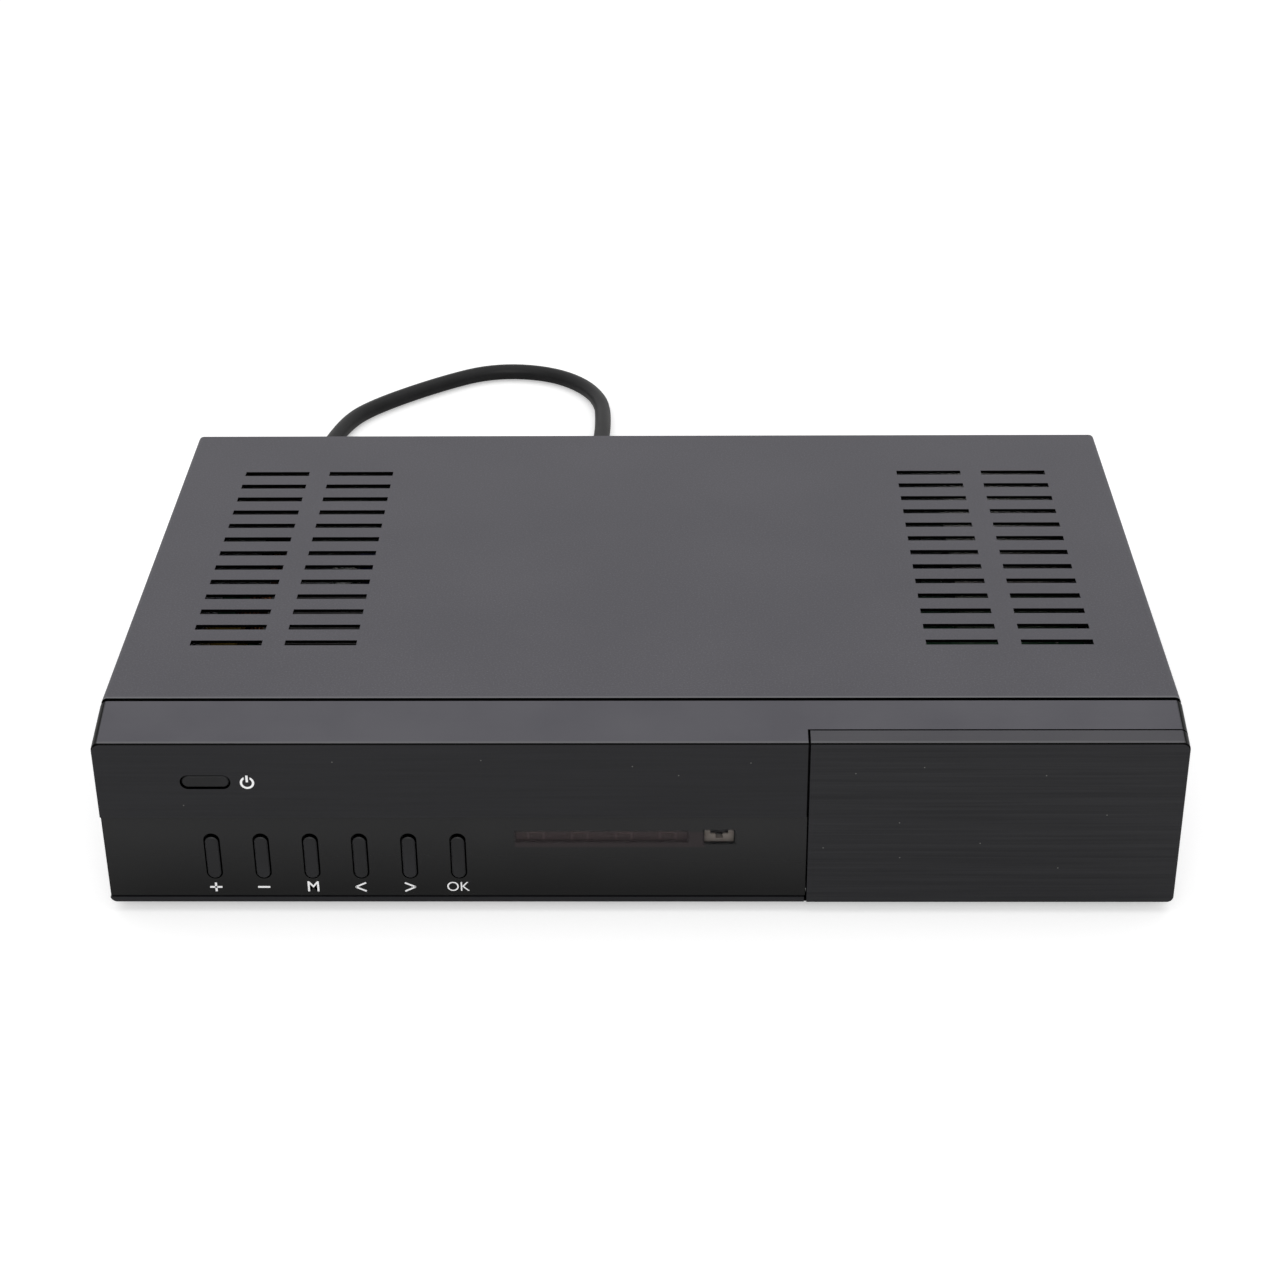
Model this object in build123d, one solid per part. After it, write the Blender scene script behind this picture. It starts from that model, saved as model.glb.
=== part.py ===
from build123d import *
import math
import os

# Digital television receiver: a vented steel box with a moulded front panel, a
# smoked display strip, seven keys, a drop-down flap over a USB socket and a
# mains lead. Millimetres. +X is to the right seen from the front, +Y is to the
# rear and +Z is up. The origin is on the surface that the feet stand on, under
# the middle of the box with its rear sockets.

# ---- driving dimensions ----
panel_width = 261.0         # front panel, end to end
cover_width = 260.6         # steel cover, a little narrower than the panel
overall_depth = 171.0       # front face to the tips of the rear sockets
cover_top_z = 52.7          # top of the cover above the table
foot_height = 3.0
sheet = 0.8                 # steel sheet of the cover and the tray

ledge_depth = 14.1          # front face to the ledge's rear edge
ledge_front_z = 49.0        # front edge of the sloping ledge
ledge_rear_z = 52.4         # its rear edge, a little below the cover's top
seam_gap = 0.9              # open seam between the ledge and the cover
cover_rear_gap = 8.4        # cover's rear edge to the tips of the sockets
panel_wall = 2.3
panel_corner = 1.6          # rounding of the panel's lower corners
ledge_corner = 2.0          # rounding along the ledge's ends
panel_rim = 0.45            # rounding all round the front face

vent_rows = 13
vent_pitch = 8.0
vent_length = 18.0
vent_width = 2.5
vent_column_x = (80.2, 103.95)   # middles of the two columns, both sides
vent_rear_row = 24.8        # rearmost row to the cover's rear edge

strip_z = (4.4, 28.05)      # recess of the smoked strip in the front face
strip_recess = 0.45         # strip's face behind the front face
strip_thickness = 1.05
strip_gap = 0.12            # play above the strip
strip_foot_gap = 0.55       # open groove between the strip and the lip below it
strip_end_gap = 0.25        # strip's left end inside the panel's end

key_names = ("plus_key", "minus_key", "menu_key", "left_key", "right_key", "ok_key")
key_first_x = -104.05
key_pitch = 11.96
key_z = 16.55
key_hole = (4.0, 13.3)      # width and height of the oval hole
power_x, power_z = -103.95, 38.25
power_hole = (12.2, 3.9)
key_gap = 0.4               # play around each key in its hole
key_travel = 0.5            # a stem is close to its switch's contact at the end of it
key_proud = 0.45            # key faces in front of the strip's face
key_drop = 0.25             # each oval cap rests this much lower in its hole
power_recess = 0.2

display_window = ((-30.75, 12.1), (18.1, 24.5))
sensor_window = ((15.5, 23.0), (18.6, 24.2))
sensor_middle = (19.25, 21.4)

flap_left = 40.7            # flap's left edge
flap_side_gap = 0.6
flap_thickness = 2.4        # also the radius of its heel around the hinge
flap_lip = 4.3              # depth of its top and end lips
flap_seam = 0.4             # open seam between the lips and the panel
hinge_lug_x = (52.0, 118.0)
hinge_lug_width = 4.0
hinge_lug_radius = 1.5
hinge_pin_radius = 0.75
hinge_pin_length = 13.0
hinge_play = 0.07           # radial play of the pins in the lugs

board_z = 8.8               # underside of the two boards
board_thickness = 1.6

cord_diameter = 5.4
coil_turns = 5.25           # put-away part of the lead, which is 1.2 m long in all
cord_exit_x, cord_exit_z = -108.0, 16.0

# ---- places worked out from them ----
front_y = -overall_depth / 2
rear_y = overall_depth / 2
seam_y = front_y + ledge_depth
cover_front_y = seam_y + seam_gap
cover_rear_y = rear_y - cover_rear_gap
half_panel = panel_width / 2
half_cover = cover_width / 2
rear_panel_y = cover_rear_y - sheet - 0.1      # outer face of the rear panel
rear_inner_y = rear_panel_y - sheet
tray_half = half_cover - sheet - 0.1
floor_z = foot_height + sheet                  # upper face of the tray's floor
board_top = board_z + board_thickness
hinge_y = front_y + flap_thickness
hinge_z = foot_height + flap_thickness
lip_y = front_y + flap_lip
bay_edge_y = lip_y + flap_seam                 # front edge of the panel around the flap
bay_floor_y = front_y + 6.2                    # bottom wall's edge, clear of the turning heel
bay_floor_top = 12.0                           # height up to which the ends are cut back too
bay_wall_y = front_y + 9.0                     # face of the wall behind the flap
strip_face_y = front_y + strip_recess
strip_back_y = strip_face_y + strip_thickness
strip_wall_y = front_y + 3.3                   # inner face of the wall behind the strip
upper_wall_y = front_y + 2.4                   # inner face of the wall above the strip
front_board_y = front_y + 9.5                  # front face of the key and display board
switch_height = 3.5
switch_y = front_board_y - switch_height       # front face of the switches
switch_well = 1.85                             # radius of the well over each contact
switch_well_depth = 1.3
stem_room = 0.8                                # a resting stem's end to the well's bottom
ledge_slope = (ledge_rear_z - ledge_front_z) / ledge_depth

os.makedirs("parts", exist_ok=True)


def save(name, shape):
    export_step(shape, f"parts/{name}.step")


def group(shapes):
    return Compound(children=[solid for shape in shapes for solid in shape.solids()])


def block(x_range, y_range, z_range):
    lows, highs = zip(x_range, y_range, z_range)
    middle = [(low + high) / 2 for low, high in zip(lows, highs)]
    sizes = [high - low for low, high in zip(lows, highs)]
    return Pos(*middle) * Box(*sizes)


def rod(start, end, radius, end_radius=None):
    """A round bar, or a cone when it has a second radius."""
    axis = Vector(*end) - Vector(*start)
    base = Plane(origin=start, z_dir=axis)
    if end_radius is None:
        return extrude(base * Circle(radius), axis.length)
    from_start = (Align.CENTER, Align.CENTER, Align.MIN)
    return base * Cone(radius, end_radius, axis.length, align=from_start)


def tube(start, end, radius, bore):
    return rod(start, end, radius) - rod(start, end, bore)


def facing_front(y, x=0.0, z=0.0):
    """A sketch plane at y whose first axis is +X and whose second is +Z."""
    return Plane(origin=(x, y, z), x_dir=(1, 0, 0), z_dir=(0, -1, 0))


def front_shape(sketch, y_range, x=0.0, z=0.0):
    """A sketch drawn in XZ and carried from the first y back to the second."""
    return extrude(facing_front(y_range[0], x, z) * sketch, -(y_range[1] - y_range[0]))


def side_shape(sketch, x_range):
    """A sketch drawn in YZ and carried along X."""
    return extrude(Plane.YZ.offset(x_range[0]) * sketch, x_range[1] - x_range[0])


def outline(*points):
    return make_face(Polyline(*points, close=True))


def oval(width, height):
    if height > width:
        return SlotOverall(height, width, rotation=90)
    return SlotOverall(width, height)


def ledge_z(y):
    return ledge_front_z + (y - front_y) * ledge_slope


# ---- steel tray with the rear panel ----
rca_x = {"video": 2.0, "left": 16.0, "right": 30.0, "digital": 74.0}
aerial_x = {"in": 114.0, "out": 98.0}
hdmi_x = 52.0
rca_z = board_top + 7.2
aerial_z = board_top + 7.6
foot_places = [(x, y) for x in (-112, 112) for y in (-54, 60)]
panel_lug_x = (-100.0, 0.0, 100.0)
panel_lug_y = seam_y + 5.5
cover_screw_x = (-100.0, 0.0, 100.0)
cover_screw_z = 48.0
gland_hole = 5.2
main_board_x, main_board_y = (-38.0, 124.0), (-62.0, 72.0)
power_board_x, power_board_y = (-124.0, -56.0), (-40.0, 64.0)
standoff_places = [(x, y) for x in (-32, 118) for y in (-54, 22)]
standoff_places += [(x, y) for x in (-119, -61) for y in (-35, 59)]


def round_holes_in_rear():
    holes = [(x, rca_z, 5.1) for x in rca_x.values()]
    holes += [(x, aerial_z, 5.2) for x in aerial_x.values()]
    holes += [(cord_exit_x, cord_exit_z, gland_hole)]
    holes += [(x, cover_screw_z, 1.45) for x in cover_screw_x]
    return [rod((x, rear_inner_y - 1, z), (x, rear_panel_y + 1, z), r) for x, z, r in holes]


def make_tray():
    tray_front = seam_y + 0.2
    flange_top = 15.0
    section = outline((-tray_half, flange_top), (-tray_half, foot_height),
                      (tray_half, foot_height), (tray_half, flange_top))
    corners = section.vertices().sort_by(Axis.Y)[:2]
    section = fillet(corners, 1.4)
    hollow = Pos(0, floor_z + 20) * Rectangle(2 * (tray_half - sheet), 40)
    tray = front_shape(section - hollow, (tray_front, rear_inner_y))
    rear = front_shape(Pos(0, (foot_height + cover_top_z - sheet - 0.15) / 2)
                       * Rectangle(2 * tray_half, cover_top_z - sheet - 0.15 - foot_height),
                       (rear_inner_y, rear_panel_y))
    rear = fillet(rear.edges().filter_by(Axis.Y), 1.4)
    tray += rear
    for hole in round_holes_in_rear():
        tray -= hole
    tray -= block((hdmi_x - 7.9, hdmi_x + 7.9), (rear_inner_y - 1, rear_panel_y + 1),
                  (board_top - 0.3, board_top + 6.5))
    for x, y in foot_places:
        tray -= rod((x, y, 0), (x, y, floor_z + 1), 1.6)
    for x in panel_lug_x:
        tray -= rod((x, panel_lug_y, 0), (x, panel_lug_y, floor_z + 1), 1.5)
    for side in (-1, 1):
        for row in range(9):
            tray -= block(sorted((side * 68, side * 92)),
                          (-34 + row * vent_pitch, -34 + row * vent_pitch + vent_width),
                          (0, floor_z + 1))
    return tray


# ---- vented cover ----
def make_cover():
    """A sheet folded down both sides, with a flange over the rear panel."""
    side_bottom = foot_height + 0.3
    fold = 1.6
    outer = outline((-half_cover, side_bottom), (-half_cover, cover_top_z),
                    (half_cover, cover_top_z), (half_cover, side_bottom))
    outer = fillet(outer.vertices().sort_by(Axis.Y)[2:], fold)
    inner_half, inner_top = half_cover - sheet, cover_top_z - sheet
    inner = outline((-inner_half, 0), (-inner_half, inner_top), (inner_half, inner_top),
                    (inner_half, 0))
    inner = fillet(inner.vertices().sort_by(Axis.Y)[2:], fold - sheet)
    cover = front_shape(outer - inner, (cover_front_y, cover_rear_y))
    flange_depth = 8.5
    flange = block((-tray_half, tray_half), (cover_rear_y - sheet, cover_rear_y),
                   (cover_top_z - flange_depth, cover_top_z - 0.4))
    cover += flange
    for x in cover_screw_x:
        cover -= rod((x, cover_rear_y - 2, cover_screw_z), (x, cover_rear_y + 1, cover_screw_z), 1.5)
    rows = [cover_rear_y - vent_rear_row - row * vent_pitch for row in range(vent_rows)]
    slots = [block((side * x - vent_length / 2, side * x + vent_length / 2),
                   (y - vent_width / 2, y + vent_width / 2), (cover_top_z - 3, cover_top_z + 1))
             for side in (-1, 1) for x in vent_column_x for y in rows]
    return cover - slots


# ---- moulded front panel ----
usb_x = 85.0
usb_size = (13.1, 5.7)
usb_z = board_top + usb_size[1] / 2
front_board_screws = [(x, z) for x in (-118, 28) for z in (12, 42)]


def end_edges(solid):
    return solid.edges().filter_by(lambda edge: abs(abs(edge.center().X) - half_panel) < 0.01)


def panel_solid():
    """The outside of the panel before it is hollowed."""
    section = outline((front_y, foot_height), (front_y, ledge_front_z), (seam_y, ledge_rear_z),
                      (seam_y, foot_height))
    solid = side_shape(section, (-half_panel, half_panel))
    solid = fillet(end_edges(solid).filter_by(lambda edge: edge.center().Z > ledge_front_z),
                   ledge_corner)
    solid = fillet(end_edges(solid).filter_by(lambda edge: edge.center().Z < foot_height + 0.01),
                   panel_corner)
    return fillet(solid.faces().sort_by(Axis.Y)[0].edges(), panel_rim)


def make_front_panel():
    whole = panel_solid()
    inner = outline((seam_y + 1, foot_height + panel_wall), (strip_wall_y, foot_height + panel_wall),
                    (strip_wall_y, strip_z[1] + 0.5), (upper_wall_y, strip_z[1] + 1.4),
                    (upper_wall_y, ledge_z(upper_wall_y) - panel_wall),
                    (seam_y + 1, ledge_z(seam_y + 1) - panel_wall))
    end_inner = half_panel - panel_wall
    panel = whole - side_shape(inner, (-end_inner, end_inner))

    # the opening for the flap, with its end wall and the wall behind it
    step_x = flap_left - flap_side_gap
    panel -= block((step_x, half_panel + 1), (front_y - 1, bay_edge_y), (0, 60))
    panel -= block((step_x, half_panel + 1), (front_y - 1, bay_floor_y), (0, bay_floor_top))
    bay = block((step_x - panel_wall, half_panel), (bay_wall_y, bay_wall_y + 2), (0, 60))
    bay += block((step_x - panel_wall, step_x), (front_y, bay_wall_y + 2), (0, 60))
    panel += bay & whole
    clearance = 0.3
    panel -= front_shape(Rectangle(usb_size[0] + 2 * clearance, usb_size[1] + 2 * clearance),
                         (bay_wall_y - 1, bay_wall_y + 3), usb_x, usb_z)

    # hinge lugs on the bottom wall
    for x in hinge_lug_x:
        arm = Pos(hinge_y, hinge_z) * Circle(hinge_lug_radius)
        arm_length = bay_wall_y - hinge_y
        arm += Pos(hinge_y + arm_length / 2, hinge_z) * Rectangle(arm_length, 2 * hinge_lug_radius)
        panel += side_shape(arm, (x - hinge_lug_width / 2, x + hinge_lug_width / 2))
        panel -= rod((x - 4, hinge_y, hinge_z), (x + 4, hinge_y, hinge_z),
                     hinge_pin_radius + hinge_play)

    # recess for the smoked strip, the lip flush with it and the windows behind it
    panel -= block((-half_panel - 1, step_x + 1), (front_y - 1, strip_back_y), strip_z)
    panel -= block((-half_panel - 1, step_x + 1), (front_y - 1, strip_face_y), (0, strip_z[1]))
    for x_range, z_range in (display_window, sensor_window):
        panel -= block(x_range, (strip_back_y - 1, strip_wall_y + 1), z_range)
    for index in range(len(key_names)):
        panel -= front_shape(oval(*key_hole), (front_y - 1, strip_wall_y + 1), key_x(index), key_z)
    panel -= front_shape(oval(*power_hole), (front_y - 1, upper_wall_y + 1), power_x, power_z)

    # bosses for the key board, a tongue under the cover and lugs on the tray
    for x, z in front_board_screws:
        wall_y = strip_wall_y if z < strip_z[1] else upper_wall_y
        panel += rod((x, wall_y - 0.5, z), (x, front_board_y, z), 2.8)
        panel -= rod((x, wall_y + 1, z), (x, front_board_y + 1, z), 1.25)
    tongue_top = cover_top_z - sheet - 0.25
    panel += block((-124, 124), (seam_y - 2.5, seam_y + 4), (tongue_top - 1.5, tongue_top))
    for x in panel_lug_x:
        panel += block((x - 7, x + 7), (seam_y - 2, seam_y + 10), (floor_z, floor_z + 3.2))
        panel -= rod((x, panel_lug_y, 0), (x, panel_lug_y, floor_z + 4), 1.25)
    return panel


def key_x(index):
    return key_first_x + index * key_pitch


def make_strip():
    """Smoked strip over the lower part of the face, with the key holes."""
    right = flap_left - 0.4
    strip = block((-half_panel + strip_end_gap, right), (strip_face_y, strip_back_y),
                  (strip_z[0] + strip_foot_gap, strip_z[1] - strip_gap))
    strip &= panel_solid()
    for index in range(len(key_names)):
        strip -= front_shape(oval(*key_hole), (front_y - 1, 0), key_x(index), key_z)
    return strip


# ---- keys and their switches ----
def make_key(hole, x, z, face_y, wall_y, drop=0.0):
    """An oval cap, with a flange behind the wall and a stem into the switch's well."""
    width, height = hole[0] - 2 * key_gap, hole[1] - 2 * key_gap
    flange_rim, flange_room, stem_play = 1.1, 0.9, 0.2
    flange_y = wall_y + 0.25
    flange_end = switch_y - key_travel - flange_room
    cap = front_shape(oval(width, height - 2 * drop), (face_y, flange_end), x, z - drop)
    cap = chamfer(cap.faces().sort_by(Axis.Y)[0].edges(), 0.25)
    cap += front_shape(oval(width + 2 * flange_rim, height + 2 * flange_rim),
                       (flange_y, flange_end), x, z)
    stem_end = switch_y + switch_well_depth - stem_room
    return cap + rod((x, flange_y, z), (x, stem_end, z), switch_well - stem_play)


def make_switch(x, z):
    """Square switch body with a round well for the stem."""
    half = 3.0
    body = block((x - half, x + half), (switch_y, front_board_y), (z - half, z + half))
    body = chamfer(body.edges().filter_by(Axis.Y), 0.5)
    return body - rod((x, switch_y - 1, z), (x, switch_y + switch_well_depth, z), switch_well)


# ---- drop-down flap ----
def flap_section():
    """Section of the flap: a flat face, a lip over the ledge and a round heel at the hinge."""
    lip_thickness = 2.0
    wall = outline((front_y, foot_height), (front_y, ledge_front_z), (hinge_y, ledge_z(hinge_y)),
                   (hinge_y, foot_height))
    lip = outline((front_y, ledge_front_z - lip_thickness), (front_y, ledge_front_z),
                  (lip_y, ledge_z(lip_y)), (lip_y, ledge_z(lip_y) - lip_thickness))
    return wall + lip + Pos(hinge_y, hinge_z) * Circle(flap_thickness)


def make_flap():
    end_wall = 2.2
    flap = side_shape(flap_section(), (flap_left, half_panel))
    end = outline((hinge_y - 0.5, hinge_z), (hinge_y - 0.5, ledge_z(hinge_y - 0.5)),
                  (lip_y, ledge_z(lip_y)), (lip_y, hinge_z))
    flap += side_shape(end, (half_panel - end_wall, half_panel))
    flap &= panel_solid()

    # stiffening ribs on its inner face
    rib_depth, rib = 1.1, 1.0
    for x in (flap_left + 4, 70.0, 100.0, half_panel - 8):
        flap += block((x, x + rib), (hinge_y - 0.2, hinge_y + rib_depth), (hinge_z + 6, 45))
    for z in (hinge_z + 6, 44.0):
        flap += block((flap_left + 4, half_panel - 7), (hinge_y - 0.2, hinge_y + rib_depth),
                      (z, z + rib))

    # room for the lugs to swing through the rounded edge, and the pin bores
    room = 0.3
    reach = hinge_lug_radius + room
    for x in hinge_lug_x:
        pocket = Pos(hinge_y, hinge_z) * Circle(reach)
        pocket += Pos(hinge_y + 4, hinge_z) * Rectangle(8, 2 * reach)
        pocket += Pos(hinge_y, hinge_z - 4) * Rectangle(2 * reach, 8)
        pocket += Pos(hinge_y + 4, hinge_z - 4) * Rectangle(8, 8)
        half = hinge_lug_width / 2 + room
        flap -= side_shape(pocket, (x - half, x + half))
        flap -= rod((x - hinge_pin_length / 2, hinge_y, hinge_z),
                    (x + hinge_pin_length / 2, hinge_y, hinge_z), hinge_pin_radius)
    return flap


def make_hinge_pins():
    half = hinge_pin_length / 2
    return group([rod((x - half, hinge_y, hinge_z), (x + half, hinge_y, hinge_z), hinge_pin_radius)
                  for x in hinge_lug_x])


# ---- key and display board ----
def make_front_board():
    board = block((-123, 34), (front_board_y, front_board_y + board_thickness), (7, 47))
    for x, z in front_board_screws:
        board -= rod((x, front_board_y - 1, z), (x, front_board_y + 3, z), 1.5)
    return board


def make_display():
    """Four digit cells in one moulded block, with shallow segment pockets in its face."""
    window_x, window_z = display_window
    digits, border, pocket = 4, 2.25, 0.3
    face_y = strip_wall_y + 0.3
    middle_z = (window_z[0] + window_z[1]) / 2
    display = block((window_x[0] - border, window_x[1] + border), (face_y, front_board_y),
                    (middle_z - 6.7, middle_z + 6.7))
    bars = [Pos(dx, 0) * Rectangle(0.6, 4.8) for dx in (-1.9, 1.9)]
    bars += [Pos(0, dz) * Rectangle(3.0, 0.6) for dz in (-2.5, 0.0, 2.5)]
    cell = (window_x[1] - window_x[0]) / digits
    for index in range(digits):
        middle_x = window_x[0] + (index + 0.5) * cell
        for bar in bars:
            display -= front_shape(bar, (face_y - 1, face_y + pocket), middle_x, middle_z)
    return display


def make_sensor_shield():
    """Tin can over the infra-red receiver, with its cross-shaped opening."""
    x, z = sensor_middle
    width, height, tin, face_y = 7.1, 6.4, 0.4, strip_wall_y + 1.0
    shield = front_shape(Rectangle(width, height), (face_y, front_board_y), x, z)
    shield -= front_shape(Rectangle(width - 2 * tin, height - 2 * tin),
                          (face_y + tin, front_board_y + 1), x, z)
    cross = Rectangle(1.8, 4.4) + Rectangle(4.4, 1.8)
    return shield - front_shape(cross, (face_y - 1, face_y + 1), x, z)


def make_sensor():
    """Infra-red receiver: a square body with a half-round lens."""
    x, z = sensor_middle
    body_y, lens_radius = strip_wall_y + 3.2, 1.7
    body = front_shape(Rectangle(5.3, 5.0), (body_y, front_board_y), x, z)
    lens = Pos(x, body_y, z) * Rot(90, 0, 0) * Sphere(lens_radius, arc_size1=0)
    return body + lens


# ---- boards, power supply and tuner inside the box ----
def make_board(x_range, y_range, screw_places):
    board = block(x_range, y_range, (board_z, board_top))
    for x, y in screw_places:
        board -= rod((x, y, board_z - 1), (x, y, board_top + 1), 1.6)
    return board


def make_main_board():
    board = make_board(main_board_x, main_board_y, standoff_places[:4])
    tongue = block((usb_x - 10, usb_x + 10), (bay_wall_y + 2.4, main_board_y[0] + 1),
                   (board_z, board_top))
    return board + tongue


def make_standoffs():
    posts = []
    for x, y in standoff_places:
        post = Pos(x, y, floor_z) * extrude(RegularPolygon(3.2, 6), board_z - floor_z)
        posts.append(post - rod((x, y, floor_z - 1), (x, y, board_z + 1), 1.3))
    return group(posts)


def screw(head, tip, shank_radius, head_radius, head_height):
    """A pan-head screw from under its head to its tip, with a plain six-sided shank."""
    way = Vector(*tip) - Vector(*head)
    top = Vector(*head) - way.normalized() * head_height
    shank = extrude(Plane(origin=head, z_dir=way) * RegularPolygon(shank_radius, 6), way.length)
    return rod(head, tuple(top), head_radius, head_radius * 0.72) + shank


def cross_recess(top, axis, head_radius, depth):
    cross = Rectangle(head_radius, 0.6) + Rectangle(0.6, head_radius)
    return extrude(Plane(origin=top, z_dir=axis) * cross, depth)


def make_cover_screws():
    """Cross-head screws through the cover's flange into the rear panel."""
    head_height = 1.7
    screws = []
    for x in cover_screw_x:
        head, tip = (x, cover_rear_y, cover_screw_z), (x, rear_inner_y - 4, cover_screw_z)
        top = (x, cover_rear_y + head_height, cover_screw_z)
        screws.append(screw(head, tip, 1.4, 2.9, head_height) - cross_recess(top, (0, -1, 0), 2.9, 0.9))
    return group(screws)


def make_small_screws():
    """One size of screw holds the boards, the key board and the front panel."""
    key_board_y = front_board_y + board_thickness
    places = [((x, y, board_top), (0, 0, -1)) for x, y in standoff_places]
    places += [((x, key_board_y, z), (0, -1, 0)) for x, z in front_board_screws]
    places += [((x, panel_lug_y, foot_height), (0, 0, 1)) for x in panel_lug_x]
    length = 5.2
    screws = []
    for head, way in places:
        tip = Vector(*head) + Vector(*way) * length
        screws.append(screw(head, tuple(tip), 1.2, 2.6, 1.5))
    return group(screws)


def make_feet():
    """Domed rubber feet with a spigot pressed into the tray."""
    feet = []
    for x, y in foot_places:
        foot = rod((x, y, 0), (x, y, foot_height), 5.6, 6.4)
        foot += on_board(RegularPolygon(1.55, 6), sheet + 2.0, x, y, foot_height - 0.5)
        feet.append(foot)
    return group(feet)


def on_board(sketch, height, x, y, z=board_top):
    """A sketch drawn in XY and raised from the board's upper face."""
    return extrude(Pos(x, y, z) * sketch, height)


chip_place = (50.5, 1.5)
chip_height = 1.4


def make_chip():
    chip = on_board(Rectangle(19.0, 19.0), chip_height, *chip_place)
    return chamfer(chip.edges().filter_by(Axis.Z), 0.5)


def make_heatsink():
    """Finned aluminium block on the decoder chip."""
    side, base, height, fins, fin = 29.0, 2.0, 11.0, 8, 1.0
    base_z = board_top + chip_height
    sink = on_board(Rectangle(side, side), base, *chip_place, base_z)
    pitch = (side - fin) / (fins - 1)
    for index in range(fins):
        x = chip_place[0] - (side - fin) / 2 + index * pitch
        sink += on_board(Rectangle(fin, side), height, x, chip_place[1], base_z)
    return sink


def make_memory():
    places = [(76, -8), (76, 8), (32, -20), (32, 14)]
    return group([on_board(Rectangle(8.0, 12.0), 1.1, x, y) for x, y in places])


def make_crystals():
    cans = []
    for x, y in ((48, -22), (90, 18)):
        can = on_board(SlotOverall(10.5, 4.2), 3.4, x, y)
        cans.append(chamfer(can.faces().sort_by(Axis.Z)[-1].edges(), 0.4))
    return group(cans)


def capacitor(x, y, radius, height, groove=0.4):
    """Electrolytic can: a chamfered top over the rolled groove near its base."""
    bevel = 0.5
    side = [(radius, 0), (radius, height - bevel)]
    if groove:
        side[1:1] = [(radius, 1.2), (radius - groove, 1.2 + groove), (radius, 1.2 + 2 * groove)]
    section = outline((0, 0), *side, (radius - bevel, height), (0, height))
    return Pos(x, y, board_top) * revolve(Plane.XZ * section, Axis.Z)


def make_board_capacitors():
    places = [(-28, 40), (-16, 40), (-28, -34), (-14, -46), (10, -46), (64, -40), (104, -30)]
    return group([capacitor(x, y, 3.15, 7.5, groove=0) for x, y in places])


def make_tuner():
    """Folded tin can with a lid rim, behind the two aerial sockets."""
    x_range, y_range, height, tin, rim = (88.0, 123.0), (34.0, rear_inner_y - 0.2), 15.2, 0.4, 4.0
    can = block(x_range, y_range, (board_top, board_top + height))
    can = chamfer(can.edges().filter_by(Axis.Z), 0.6)
    lid = block((x_range[0] - tin, x_range[1] + tin), (y_range[0] - tin, y_range[1]),
                (board_top + height - rim, board_top + height + tin))
    return can + lid


# phono jacks: an outer shell around an insulator with a bored centre contact
shell_y, shell_radius, insulator_radius = 64.0, 4.15, 3.2
jack_bore_y, jack_bore = 66.0, 1.6


def make_aerial_socket(x, has_pin):
    """Coaxial aerial socket: a flanged barrel that is open at the rear."""
    barrel = rod((x, rear_inner_y - 0.2, aerial_z), (x, rear_y, aerial_z), 4.75)
    barrel += rod((x, rear_inner_y - 0.2, aerial_z), (x, rear_panel_y + 0.3, aerial_z), 5.1)
    bore = 4.1 if has_pin else 3.3
    barrel -= rod((x, rear_panel_y, aerial_z), (x, rear_y + 1, aerial_z), bore)
    return barrel


def make_socket_contacts():
    """A pin in the loop-out socket, a sleeve in the aerial input and one in each jack."""
    sleeve = tube((aerial_x["in"], rear_panel_y, aerial_z),
                  (aerial_x["in"], rear_y - 1.2, aerial_z), 2.0, 1.2)
    pin = rod((aerial_x["out"], rear_panel_y, aerial_z),
              (aerial_x["out"], rear_y - 1.6, aerial_z), 1.15)
    pin = chamfer(pin.faces().sort_by(Axis.Y)[-1].edges(), 0.5)
    jacks = [tube((x, jack_bore_y, rca_z), (x, rear_y - 2.6, rca_z), jack_bore, 1.1)
             for x in rca_x.values()]
    return group([sleeve, pin] + jacks)


def make_rca_block(places):
    """Moulded jack housing with a collar through the rear panel for each jack."""
    margin, collar, collar_out = 6.5, 4.95, 1.4
    housing = block((min(places) - margin, max(places) + margin), (58, rear_inner_y - 0.1),
                    (board_top, board_top + 13.2))
    housing = chamfer(housing.edges().filter_by(Axis.X).group_by(Axis.Z)[-1], 0.6)
    for x in places:
        housing += rod((x, rear_inner_y - 1, rca_z), (x, rear_panel_y + collar_out, rca_z), collar)
        housing -= rod((x, shell_y, rca_z), (x, rear_y, rca_z), shell_radius)
        housing += rod((x, shell_y - 1, rca_z), (x, rear_y - 1.8, rca_z), insulator_radius)
        housing -= rod((x, jack_bore_y, rca_z), (x, rear_y + 1, rca_z), jack_bore)
    return housing


def make_rca_shells(places):
    return group([tube((x, shell_y, rca_z), (x, rear_y - 0.6, rca_z), shell_radius, insulator_radius)
                  for x in places])


def make_hdmi():
    """Drawn-steel shell with chamfered lower corners and a contact tongue."""
    outer = outline((-7.2, 5.9), (-7.2, 2.4), (-5.6, 0.9), (-5.6, 0), (5.6, 0), (5.6, 0.9),
                    (7.2, 2.4), (7.2, 5.9))
    inner = outline((-6.8, 5.5), (-6.8, 2.6), (-5.2, 1.1), (-5.2, 0.4), (5.2, 0.4), (5.2, 1.1),
                    (6.8, 2.6), (6.8, 5.5))
    front, rear = 63.0, rear_panel_y + 0.9
    shell = front_shape(outer, (front, rear), hdmi_x, board_top)
    shell -= front_shape(inner, (front + 2, rear + 1), hdmi_x, board_top)
    return shell + block((hdmi_x - 5.0, hdmi_x + 5.0), (front + 1, rear - 1.5),
                         (board_top + 3.0, board_top + 4.2))


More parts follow.
